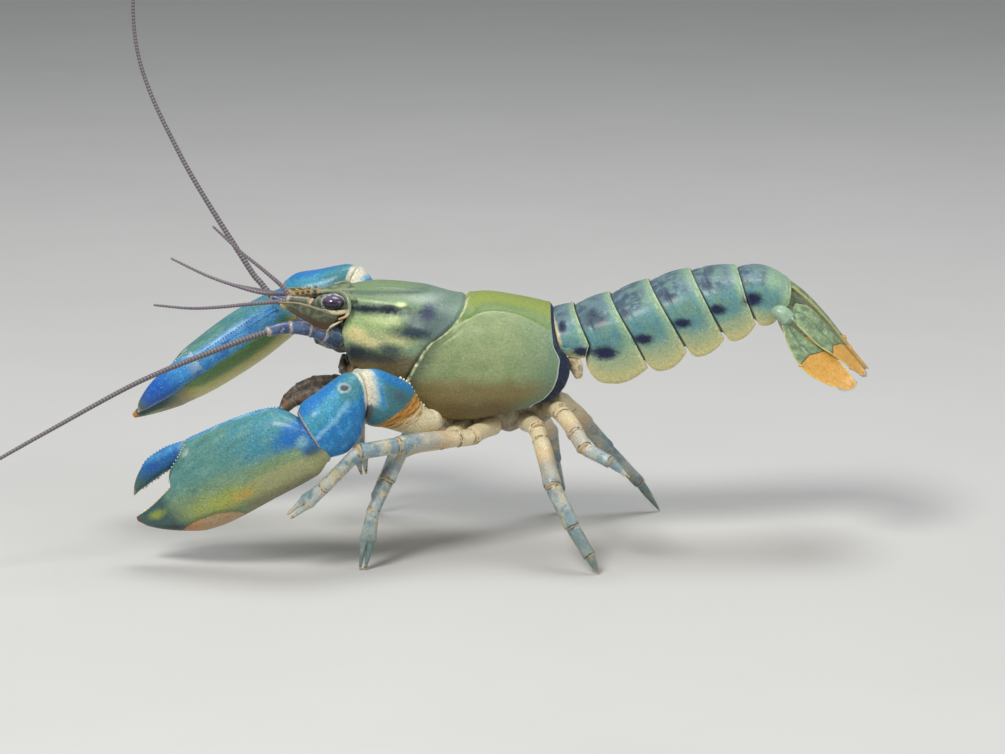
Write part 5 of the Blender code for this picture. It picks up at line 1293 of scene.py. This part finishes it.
def make_mouth(coat, horn, skin_coat):
    """The underside of the head: a soft field, two horny jaws and the small legs folded over them."""
    form = new_form()
    share = np.linspace(0, 1, 50)
    wide, deep = line(((0, 3.2), (0.35, 5.2), (1, 6.4))), line(((0, 0.8), (0.4, 1.5), (1, 1.2)))
    rows = rounded(rings_along(path_through(MOUTH_FIELD, 50), wide(share), deep(share), 56), 0.6, 0.3)
    skin(form, rows, lengthwise(rows))
    raised(form, lambda p: 0.16 * np.sin(p[:, 0] * 2.9 + p[:, 1] ** 2 * 0.12)
           - 0.35 * near(p, MOUTH_FIELD, 0.5, (0, 1)))
    dressed("mouth_field", form, skin_coat, "belly")
    for word, side in SIDES:
        form = new_form()
        half = line(((0, 1.5), (0.4, 2.0), (0.75, 1.6), (1, 0.8)))(np.linspace(0, 1, 36))
        path = path_through(mirrored(JAW, side), 36)
        rows = rounded(rings_along(path, half, half * 0.8, 36, 0.1), 0.8, 0.4)
        skin(form, rows, lengthwise(rows))
        dressed("jaw_%s" % word, form, horn, "belly")
        form = new_form()
        segments(form, mirrored(MOUTH_LEG, side), MOUTH_LEG_RADII, 1.05, 0.06, 18, 16)
        dressed("mouth_leg_%s" % word, form, coat, "limb")


# Great claws

def claw_axes(start, end, roll=0.0):
    start, end = Vector(start), Vector(end)
    along = (end - start).normalized()
    aside = along.cross(Vector((0, 0, 1))).normalized()
    rise = aside.cross(along)
    turn = Matrix.Rotation(radians(roll), 3, along)
    return [np.array(v) for v in (start, along, turn @ rise, turn @ aside)]


def outline_rows(axes, stations, upper, lower, thick, around):
    start, along, rise, aside = axes
    angle = turns(around)
    wide = np.cos(angle) * (1 + CLAW_SQUARENESS * np.sin(angle) ** 2)
    tall = np.sin(angle) * (1 + CLAW_SQUARENESS * np.cos(angle) ** 2)
    high, low = upper(stations), lower(stations)
    centre = start + stations[:, None] * along + ((high + low) / 2)[:, None] * rise
    half = (high - low) / 2
    return (centre[:, None] + (thick(stations)[:, None] * wide)[..., None] * aside
            + (half[:, None] * tall)[..., None] * rise)


def leaned(rows, axes, stations, share, normal):
    """Lean rings over until those with a share of 1 lie along a joint's plane."""
    start, along = axes[0], axes[1]
    axis = start + stations[:, None] * along
    lean = ((axis[:, None] - rows) @ normal) / (along @ normal)
    return rows + (lean * share[:, None])[..., None] * along


def chart_of(rows, axes, side):
    """Length, height and outward distance of places on a claw."""
    chart = charted(rows, axes[0], axes[1:])
    chart[..., 2] *= side
    return chart


def chart_from(rows, axes, joint, normal, far_joint=None, far_normal=None):
    """Length, height and distance to a joint's plane of places on a claw. With a far joint the last runs
    from 0 at the first joint to 10 at the far one."""
    chart = charted(rows, axes[0], axes[1:])
    chart[..., 2] = np.abs((rows - joint) @ normal)
    if far_joint is not None:
        chart[..., 2] *= 10 / (chart[..., 2] + np.abs((rows - far_joint) @ far_normal))
    return chart


def on_claw(axes, side, t, height, out=0.0):
    """A place on a length of a claw: so far along it, above its axis and outwards."""
    return axes[0] + axes[1] * t + axes[2] * height + axes[3] * out * side


def make_arm(word, side, arm, elbow, normal, coat, tips):
    """The arm with its root in the body, and the knobs on its upper edge."""
    upper, lower, thick = line(ARM_UPPER), line(ARM_LOWER), line(ARM_THICK)
    length = np.linalg.norm(elbow - arm[0])
    stretch = ARM_LENGTH / length if length < ARM_LENGTH else 1.0
    form = new_form()
    s = np.linspace(0.0, length - 0.25, 90)
    rows = outline_rows(arm, s, lambda t: upper(t * stretch), lambda t: lower(t * stretch),
                        lambda t: thick(t * stretch), 64)
    rows = leaned(rows, arm, s, np.clip((s - length * 0.6) / (length * 0.4), 0, 1) ** 1.5, normal)
    rows = rounded(rows, 0.6, 0.5)
    skin(form, rows, chart_from(rows, arm, elbow, normal))
    shoulder = np.array(SHOULDER[side])
    path = path_through((shoulder, shoulder * 0.45 + arm[0] * 0.55, arm[0], arm[0] + arm[1] * 2.2), 40)
    swell = np.interp(np.linspace(0, 1, 40), (0, 0.3, 0.62, 0.8, 1), (1.9, 2.05, 1.9, 1.6, 1.3))
    rows = rounded(rings_along(path, swell, swell, 40), 0.3, 0.3)
    skin(form, rows, chart_from(rows, arm, elbow, normal))
    dressed("claw_%s_arm" % word, form, coat, "claw", "claw_arm_" + word)
    for t in np.arange(2.4, 9.4, 0.7):
        root = on_claw(arm, side, t, upper(t * stretch) - 0.06, 0.5)
        knob(tips, root, arm[2] + arm[1] * 0.2, 0.24 + 0.04 * sin(t * 3), 0.36)


def make_wrist(word, side, middle, elbow, elbow_normal, wrist, wrist_normal, coat, tips):
    """The wrist with its inner spine. The left one has a pit beside the elbow, which the photo shows."""
    length = np.linalg.norm(wrist - elbow)
    form = new_form()
    s = np.linspace(0.25, length - 0.2, 90)
    rows = outline_rows(middle, s, line(CARPUS_UPPER), line(CARPUS_LOWER), line(CARPUS_THICK), 64)
    rows = leaned(rows, middle, s, np.clip(1 - s / (length * 0.45), 0, 1) ** 1.5, elbow_normal)
    rows = leaned(rows, middle, s, np.clip((s - length * 0.55) / (length * 0.45), 0, 1) ** 1.5, wrist_normal)
    rows = rounded(rows, 0.5, 0.45)
    skin(form, rows, chart_from(rows, middle, elbow, elbow_normal, wrist, wrist_normal))
    if side < 0:
        pit = on_claw(middle, 1, 1.2, 3.0, -2.6)

        def dented(p):
            far = np.linalg.norm((p - pit) * (0.75, 0.4, 1.15), axis=1)
            return 0.14 * np.exp(-((far - 0.85) / 0.2) ** 2) - 0.3 * np.exp(-(far / 0.5) ** 2)
        raised(form, dented)
    dressed("claw_%s_wrist" % word, form, coat, "claw", "claw_wrist_" + word)
    inward = middle[3] if middle[3][1] * side < 0 else -middle[3]
    root = middle[0] + middle[1] * length * 0.62 + inward * 3.9 + middle[2] * 1.5
    thorn(tips, root, inward + middle[1] * 0.5, 0.65, 1.5)


def make_hand(word, side, hand, normal, coat, tips):
    """The hand with its fixed finger, the rims of the hinge, knobs on the upper edge and teeth."""
    along, rise, aside = hand[1:]
    upper = line(HAND_UPPER)
    form = new_form()
    s = np.concatenate((np.linspace(0.15, 19.0, 110), np.linspace(19.1, HAND_LENGTH, 110)))
    rows = outline_rows(hand, s, upper, line(HAND_LOWER), line(HAND_THICK), 96)
    rows = leaned(rows, hand, s, np.clip(1 - s / 6.0, 0, 1) ** 1.5, normal)
    rows = rounded(rows, 1.8, 0.25)
    skin(form, rows, chart_of(rows, hand, side))

    def at(t, height, out=0.0):
        return on_claw(hand, side, t, height, out)
    hinge = at(20.4, 6.4)
    outer_rim, inner_rim = ((at(19.3, 7.6, 1.5 * way), at(21.0, 6.3, 2.2 * way), at(23.5, 4.6, 2.2 * way))
                            for way in (1, -1))
    raised(form, lambda p: 0.18 * near(p, outer_rim, 0.4) + 0.12 * near(p, inner_rim, 0.4)
           - 0.35 * np.exp(-(np.linalg.norm(p - hinge, axis=1) / 1.1) ** 2))
    knob(form, at(1.0, 0.7, 3.1), -along * 0.3 + aside * side, 0.85, 0.55, (0.7, 0.5, 3.4))
    for i, t in enumerate(np.arange(2.8, 19.2, 0.52)):
        for out in (-0.35, 0.4):
            place = at(t + out * 0.5, upper(t) - 0.08 - abs(out) * 0.1, out)
            knob(form, place, rise + aside * out * 0.5, 0.19 + 0.04 * sin(i * 2.1), 0.24, (t, 7.5, out))
    for t in np.arange(4.5, 18.0, 0.9):
        for row, out in ((0.9, 1.4), (1.9, 2.2)):
            place = at(t + out * 0.2, upper(t) - row, out + 0.2)
            knob(form, place, rise + aside * side * 0.9, 0.13, 0.14, (t, 6.0, out))
    dressed("claw_%s_hand" % word, form, coat, "claw", "claw_hand_" + word)
    rim = (at(19.4, 7.3, 1.9), at(21.0, 6.1, 2.3), at(23.5, 4.5, 2.2), at(24.7, 2.9, 1.8))
    for place in path_through(rim, 15):
        knob(tips, place, aside * side + rise * 0.5, 0.12, 0.16)
    for i, t in enumerate(np.arange(24.9, 31.8, 0.62)):
        size = 0.34 if i % 4 == 2 else 0.22
        knob(tips, at(t, upper(t) - 0.02), rise, size, size * 1.1)


def make_finger(word, side, hand, coat, tips):
    """The moving finger, swung about its hinge, with knobs above and teeth below."""
    along, rise, aside = hand[1:]
    swing = Matrix.Rotation(radians(-FINGER_SWING[side]), 3, Vector(aside))
    far, up = np.array(swing @ Vector(along)), np.array(swing @ Vector(rise))
    hinge = on_claw(hand, side, *FINGER_HINGE)
    far *= FINGER_REACH[side]
    finger = [hinge - far * FINGER_HINGE[0] - up * FINGER_HINGE[1], far, up, aside]
    height, tall, thick = line(FINGER_HEIGHT), line(FINGER_TALL), line(FINGER_THICK)
    form = new_form()
    s = np.linspace(18.7, 31.6, 110)
    rows = outline_rows(finger, s, lambda t: height(t) + tall(t), lambda t: height(t) - tall(t), thick, 56)
    rows = rounded(rows, 0.5, 0.15)
    skin(form, rows, chart_of(rows, [finger[0], far / FINGER_REACH[side] ** 2, up, aside], side))
    for out in (-1.1, 1.1):
        knob(form, on_claw(finger, 1, 20.3, 6.2, out), aside * out, 1.0, 1.15, (20.0, 6.0, out))
    for t in np.arange(20.6, 28.6, 0.62):
        knob(form, on_claw(finger, 1, t, height(t) + tall(t) - 0.06), up, 0.17, 0.2, (t, 7.4, 0))
    dressed("claw_%s_finger" % word, form, coat, "claw", "claw_finger_" + word)
    for i, t in enumerate(np.arange(23.6, 30.4, 0.62)):
        size = 0.32 if i % 4 == 1 else 0.2
        knob(tips, on_claw(finger, 1, t, height(t) - tall(t) + 0.02), -up, size, size * 1.1)


def make_claws(coats, teeth, joint):
    for word, side in SIDES:
        elbow, wrist = np.array(ELBOW[side]), np.array(WRIST[side])
        arm = claw_axes(ARM_START[side], elbow)
        middle = claw_axes(elbow, wrist)
        hand = claw_axes(wrist, CLAW_TIP[side], CLAW_ROLL[side])
        elbow_normal, wrist_normal = unit(arm[1] + middle[1]), unit(middle[1] + hand[1])
        tips = new_form()
        make_arm(word, side, arm, elbow, elbow_normal, coats["arm"], tips)
        make_wrist(word, side, middle, elbow, elbow_normal, wrist, wrist_normal, coats["wrist"], tips)
        make_hand(word, side, hand, wrist_normal, coats["hand"], tips)
        make_finger(word, side, hand, coats["finger"], tips)
        dressed("claw_%s_teeth" % word, tips, teeth, "claw")
        form = new_form()
        for place, normal, aside, rise in ((elbow, elbow_normal, 2.5, 2.7), (wrist, wrist_normal, 2.9, 3.5)):
            path = np.array((place - normal * 1.0, place, place + normal * 1.0))
            skin(form, rounded(rings_along(path, aside, rise, 40), 0.6, 0.6))
        dressed("claw_%s_joint_skin" % word, form, joint, "claw")


# Abdomen and tail

def edge_x(edge, z):
    x_top, z_top, x_side, z_side, _, x_low, z_low, _ = edge
    upper = x_side + (x_top - x_side) * np.clip((z - z_side) / (z_top - z_side), 0, 1)
    lower = x_side + (x_low - x_side) * np.clip((z_side - z) / max(z_side - z_low, 0.01), 0, 1)
    return np.where(z >= z_side, upper, lower)


def ring_section(edge):
    """Half of a section of an abdomen ring from the top down, and how far down each place lies."""
    arch = 22
    _, top, _, side, half, _, low, low_half = edge
    belly = min(low + BELLY_RISE, side - 0.8)
    a = np.linspace(0, pi / 2, arch)
    corner = np.sin(2 * a) ** 2
    y = half * (np.sin(a) + 0.02 * corner)
    z = side + (top - side) * (np.cos(a) + 0.012 * corner)
    t = np.linspace(0, 1, 15)[1:]
    y = np.concatenate((y, half + (low_half - half) * t + 0.12 * np.sin(pi * t)))
    z = np.concatenate((z, side + (low - side) * t))
    under = line(((0, low_half), (0.3, low_half - PLATE_THICKNESS * 0.55),
                  (0.6, low_half - PLATE_THICKNESS * 1.1), (1.0, low_half - PLATE_THICKNESS * 2.4)))
    lift = line(((0, low), (0.08, low - 0.06), (0.3, low + 0.25), (1.0, belly)))
    t = np.linspace(0, 1, 13)[1:]
    y = np.concatenate((y, under(t), np.linspace(under(1.0), 0, 9)[1:]))
    z = np.concatenate((z, lift(t), np.linspace(belly, belly - 0.3, 9)[1:]))
    down = np.concatenate((np.linspace(0, 0.66, arch), np.linspace(0.66, 1.0, 15)[1:], np.full(20, 1.05)))
    return edge_x(edge, z), y, z, down


def make_abdomen(coat, belly, cream):
    front = FIRST_EDGE
    for i, rear in enumerate(REAR_EDGES):
        rows, charts = [], []
        shares = np.concatenate((np.linspace(-0.16, -0.02, 8), np.linspace(0, 1, 56)))
        for t in shares:
            start = list(front)
            start[5], start[6] = PLATE_FRONTS[i]
            held = max(t, 0.0)
            mixed = [a + (b - a) * held for a, b in zip(start, rear)]
            swell = 4 * held * (1 - held)
            lobe = 1 - abs(2 * held - 1) ** 2.5
            mixed[1] += RING_CROWNS[i] * swell
            mixed[4] += 0.25 * swell
            bend = np.array(PLATE_TIPS[i]) - (np.array(PLATE_FRONTS[i]) + np.array((rear[5], rear[6]))) / 2
            mixed[5] += bend[0] * swell
            mixed[6] += bend[1] * lobe
            if t < 0:
                tuck = 0.55 * min(1.0, -t / 0.06)
                mixed[6] += tuck * (4.0 if i == 1 else 0.7)
                mixed[1] -= tuck
                mixed[4] -= tuck
                mixed[7] -= tuck
            x, y, z, down = ring_section(mixed)
            # the lap under the ring in front; the first ring has none beside its plate
            lap = min(t, 0.0) * (rear[0] - front[0])
            x = x + (lap if i else lap * np.clip((0.66 - down) / 0.1, 0, 1))
            lift = -0.07 * np.exp(-((t - 0.2) / 0.035) ** 2) * (down < 0.6)
            lift += 0.1 * np.exp(-((t - 0.93) / 0.03) ** 2) * (down < 0.98)
            lift -= 0.14 * np.exp(-((down - 0.7) / 0.03) ** 2) * np.clip(1 - abs(t - 0.45) / 0.4, 0, 1)
            y, z = y + lift * np.sin(down * 1.5), z + lift * np.cos(down * 1.5)
            half = np.stack((x, y, z), axis=1)
            other = half[1:-1][::-1] * (1, -1, 1)
            rows.append(np.concatenate((half, other)))
            both = np.concatenate((down, down[1:-1][::-1]))
            charts.append(np.stack((both * 0 + t, both, both * 0), axis=1))
        form = new_form()
        rows, chart = turned_in(np.array(rows), np.array(charts))
        skin(form, rows, chart)
        dressed("abdomen_%d_shell" % (i + 1), form, coat, "ring", "abdomen_%d" % (i + 1))
        form = new_form()
        for side in (-1, 1):
            if i == 0:
                # the small lobe below the first ring
                path = mirrored(((11.2, 7.3, 32.6), (11.9, 7.6, 31.2), (12.4, 7.5, 29.4)), side)
                wide = np.interp(np.linspace(0, 1, 24), (0, 0.5, 1), (1.1, 1.3, 0.7))
                skin(form, rounded(rings_along(path_through(path, 24), wide * 0.4, wide, 32), 0.3, 0.3))
            elif i < 5:
                make_swimmeret(form, front, rear, side)
        if form.verts:
            dressed("under_ring_%d" % (i + 1), form, belly if i else cream, "belly")
        else:
            form.free()
        front = (rear[0] + 0.42, rear[1] - 0.35, rear[2] + 0.42, rear[3], rear[4] - 0.35, rear[5] + 0.42,
                 rear[6], rear[7] - 0.35)


def make_swimmeret(form, front, rear, side):
    """Two soft paddles on a short stem, hung between the side plates."""
    root = np.array(((front[2] + rear[2]) / 2 + 0.9, side * 3.4, rear[6] + BELLY_RISE + 1.2))
    for lean, length in ((-0.5, 5.0), (0.5, 4.4)):
        tip = root + (-0.9 + lean, side * 0.4, -length)
        path = path_through((root, (root + tip) / 2 + (0, side * 0.2, 0), tip), 20)
        wide = line(((0, 0.4), (0.3, 0.5), (0.7, 0.85), (1, 0.3)))(np.linspace(0, 1, 20))
        skin(form, rounded(rings_along(path, 0.22, wide, 14), 0.1, 0.2))
        for i in range(18):
            place = path[8 + i // 2]
            out = (1 if i % 2 else -1) * 0.7
            thorn(form, place + (out * 0.6, 0, 0), (out, 0, -0.8), 0.03, 0.9, sides=4)


def make_blade(form, edge_a, edge_b, thickness, crest, steps=70, around=48, end=0.9):
    """A thin plate between two edges, thickest along the middle, with a rounded far end."""
    a, b = path_through(edge_a, steps), path_through(edge_b, steps)
    angle = turns(around)
    u = (1 - np.cos(angle)) / 2
    upward = unit(np.cross(b[steps // 2] - a[steps // 2], a[-1] - a[0]))
    v = np.linspace(0, 1, steps)
    rows = a[:, None] + (b - a)[:, None] * u[None, :, None]
    thin = (1 - 0.45 * v)[:, None]
    ribs = 0.1 * np.exp(-((u - 0.5) / 0.06) ** 2) * (np.sin(angle) > 0)
    lift = crest * np.sin(pi * u) + np.sin(angle) * thickness / 2 * thin + ribs
    rows = rows + lift[..., None] * upward
    chart = np.stack((np.broadcast_to(u, rows.shape[:2]), np.repeat(v[:, None], around, axis=1),
                      np.broadcast_to(np.minimum(u, 1 - u), rows.shape[:2])), axis=-1)
    chart = np.concatenate((np.repeat(chart[:1], 8, 0), chart, np.repeat(chart[-1:], 8, 0)))
    skin(form, rounded(rows, 0.3, end, 8), chart)


def fringe(form, a, b, length, count):
    """Fine bristles along a far edge from a to b, leaning the way the blade points."""
    out = unit(a[-1] - a[0] + b[-1] - b[0])
    edge = path_through((a[-4], a[-1], (a[-1] + b[-1]) / 2 + out * 0.5, b[-1], b[-4]), count)
    for i, place in enumerate(edge):
        lean = out + (b[-1] - a[-1]) * (i / count - 0.5) * 0.12
        thorn(form, place - out * 0.1, lean, 0.04, length * (1 + 0.15 * sin(i * 2.7)), sides=4)


def make_tail(bristles):
    hairs = new_form()
    form = new_form()
    left, right = mirrored(TELSON_EDGE, -1), np.array(TELSON_EDGE)
    make_blade(form, left, right, 1.0, 0.9, 90, 72, 0.5)
    for side in (-1, 1):
        edge = path_through(mirrored(TELSON_EDGE, side), 20)
        thorn(form, edge[12] + (0, 0, 0.1), (0.5, side * 0.5, -0.8), 0.35, 1.1, (0.5, 0.95, 0.3))
    dressed("telson_plate", form, fan_coat("telson", 0.56), "fan", "telson")
    a, b = path_through(left, 24), path_through(right, 24)
    fringe(hairs, a[:22], b[:22], 0.9, 60)
    root_coat = fan_coat("uropod_root", 2.0)
    coats = {"inner": fan_coat("uropod_inner", 0.52), "outer": fan_coat("uropod_outer", 0.4)}
    for word, side in SIDES:
        form = new_form()
        path = path_through(mirrored(UROPOD_BASE, side), 24)
        rows = rounded(rings_along(path, 1.4, 1.25, 32), 0.4, 0.5)
        skin(form, rows, np.zeros(rows.shape) + (0.1, 0.2, 1.0))
        thorn(form, mirrored(UROPOD_BASE[2], side) + (0.2, side * 0.6, 0.6),
              (0.6, side * 0.4, -0.5), 0.4, 1.2, (0, 0, 1))
        dressed("uropod_%s_root" % word, form, root_coat, "fan", "uropod_base_" + word)
        for name, blade in (("inner", INNER_BLADE), ("outer", OUTER_BLADE)):
            form = new_form()
            a, b = mirrored(blade[0], side), mirrored(blade[1], side)
            make_blade(form, a, b, 0.85, side * 0.35)
            a, b = path_through(a, 40), path_through(b, 40)
            up = unit(np.cross(b[20] - a[20], a[-1] - a[0])) * side
            if name == "outer":
                for t in np.linspace(0.06, 0.94, 14):
                    root = a[16] * (1 - t) + b[17] * t + up * (0.35 * sin(pi * t) + 0.22)
                    thorn(form, root, a[-1] - a[0] + up * 1.5, 0.16, 0.6, (t, 0.8, 0.3), 8)
            spine_root = b[17] if name == "outer" else b[30]
            thorn(form, spine_root, b[-1] - b[20], 0.3, 0.9, (0.9, 0.95, 0.3))
            dressed("uropod_%s_%s_blade" % (name, word), form, coats[name], "fan",
                    "uropod_%s_%s" % (name, word))
            fringe(hairs, a, b, 0.8, 46)
    dressed("tail_fringe", hairs, bristles, "fan")


# Walking legs

def make_legs(coat, bristles):
    for (number, side), joints in LEGS.items():
        word = "left" if side < 0 else "right"
        points = [np.array(p, float) for p in joints]
        if points[5][2] < 0:
            share = (points[4][2] - 0.25) / (points[4][2] - points[5][2])
            points[5] = points[4] + (points[5] - points[4]) * share
        r = LEG_RADII
        form = new_form()
        run = segment(form, points[0], points[1], r[0], r[1], 0.3)
        knee_root = points[1] * 0.8 + points[2] * 0.2
        run = segment(form, points[1], knee_root, r[1], r[1] * 0.95, before=run)
        run = segment(form, knee_root, points[2], r[1] * 1.02, r[2] * 1.05, 0.25, steps=36, before=run)
        dressed("leg_%s_%s_thigh" % (number, word), form, coat, "limb", "leg_%s_%s_upper" % (number, word))
        form, hairs = new_form(), new_form()
        run = segment(form, points[2], points[3], r[2], r[3] * 1.1, before=run)
        run = segment(form, points[3], points[4], r[3], r[4], 0.0, steps=34, before=run)
        heading = unit(points[5] - points[4])
        aside = unit(np.cross(heading, (0.0, 1.0, 0.0)))
        spread = ((1.0, 0.42), (-1.0, 0.42)) if number in "23" else ((0.0, 0.0),)
        for way, open_by in spread:
            start = points[4] - heading * 0.4
            tip = points[5] + aside * way * open_by
            middle = start * 0.42 + tip * 0.58 + aside * way * 0.28
            path = path_through((start, start * 0.6 + tip * 0.4 + aside * way * 0.1, middle, tip), 30)
            wide = np.interp(np.linspace(0, 1, 30), (0, 0.55, 0.7, 1),
                             (r[4], r[4] * 0.95, r[4] * 0.55, 0.2) if way else (r[4] * 0.82, 0.62, 0.5, 0.13))
            rows = rounded(rings_along(path, wide, wide, 16), 0.2, 0.2)
            skin(form, rows, lengthwise(rows, run))
        path = points[3] + (points[4] - points[3]) * np.linspace(0.1, 1.0, 26)[:, None]
        for i, place in enumerate(path):
            for way in (-1, 1):
                out = aside * way + np.array((0, 0.3 * sin(i * 2.0), 0)) + heading * 0.9
                thorn(hairs, place + aside * way * r[4] * 0.8, out, 0.03, 0.6 + 0.2 * sin(i * 1.9), sides=4)
        for i, place in enumerate(points[4] + (points[5] - points[4]) * np.linspace(0.05, 0.8, 16)[:, None]):
            for way in (-1, 1):
                out = aside * way + heading * 1.2 + np.array((0, 0.4 * sin(i * 2.4), 0))
                thorn(hairs, place + aside * way * 0.3, out, 0.028, 0.7, sides=4)
        name = "leg_%s_%s" % (number, word)
        dressed(name + "_shin", form, coat, "limb", name + "_lower")
        dressed(name + "_bristles", hairs, bristles, "limb")


# The whole animal

bristle_material, fold_material, face_material = bristle_coat(), fold_coat(), face_coat()
jaw_leg_material = jaw_leg_coat()
make_head()
make_thorax()
make_rostrum()
make_face(face_material)
make_sternum()
make_eyes(eye_coat(), stalk_coat(), silver_coat(), fold_material)
make_antennules(feeler_coat("antennule_whip", (110, 100, 108), (150, 140, 142), 0.5, 0.3),
                stem_coat("antennule_stem", (112, 112, 94), (74, 74, 66), (206, 184, 140)))
make_antennae(feeler_coat("antenna_whip", (88, 84, 90), (150, 140, 134), 0.56, 0.34),
              stem_coat("antenna_stem", (88, 108, 146), (50, 56, 88), (176, 184, 200)),
              scale_coat(), bristle_material)
make_jaw_legs(jaw_leg_material, bristle_material)
make_mouth(jaw_leg_material, horn_coat(), face_material)
make_claws({"arm": arm_coat(), "wrist": wrist_coat(), "hand": hand_coat(), "finger": finger_coat()},
           tooth_coat(), joint_coat())
make_abdomen(ring_coat(), belly_coat(), fold_material)
make_tail(bristle_material)
make_legs(limb_coat(), bristle_material)

# Floor, light and camera

bpy.ops.mesh.primitive_plane_add(size=6.0)
floor = bpy.context.object
floor.name = "floor"
ground = Coat("floor")
ground.start((204, 203, 200), (196, 195, 192), ground.cloud(60.0))
floor.data.materials.append(ground.finish(0.75))

world = bpy.context.scene.world or bpy.data.worlds.new("studio")
bpy.context.scene.world = world
world.use_nodes = True
world.node_tree.nodes["Background"].inputs["Color"].default_value = (0.86, 0.9, 0.95, 1.0)
world.node_tree.nodes["Background"].inputs["Strength"].default_value = 0.3


def lamp(name, place, aim, size, power, colour=(1.0, 1.0, 1.0)):
    light = bpy.data.lights.new(name, "AREA")
    light.shape = "DISK"
    light.size = size
    light.energy = power
    light.color = colour
    made = bpy.data.objects.new(name, light)
    made.location = Vector(place)
    made.rotation_euler = (Vector(aim) - Vector(place)).to_track_quat("-Z", "Y").to_euler()
    bpy.context.scene.collection.objects.link(made)


lamp("key", (-0.25, -0.45, 0.6), (0.0, 0.0, 0.03), 0.26, 4.5, (1.0, 0.98, 0.95))
lamp("top", (0.1, 0.15, 0.7), (0.0, 0.0, 0.03), 0.4, 2.2, (0.95, 0.98, 1.0))
lamp("side", (0.6, -0.3, 0.3), (0.0, 0.0, 0.03), 0.4, 1.0)

CAMERA_TILT, CAMERA_DISTANCE, AIM_HEIGHT, LENS = 12.0, 0.55, 0.0278, 119.40
camera_data = bpy.data.cameras.new("camera")
camera_data.lens = LENS
camera_data.sensor_width = 36.0
camera_data.clip_start = 0.01
camera = bpy.data.objects.new("camera", camera_data)
tilt = radians(CAMERA_TILT)
camera.location = OFFSET + Vector((0, -CAMERA_DISTANCE * cos(tilt), AIM_HEIGHT + CAMERA_DISTANCE * sin(tilt)))
camera.rotation_euler = (radians(90) - tilt, 0, 0)
bpy.context.scene.collection.objects.link(camera)
bpy.context.scene.camera = camera
bpy.context.scene.view_settings.view_transform = "Standard"

bpy.context.view_layer.update()
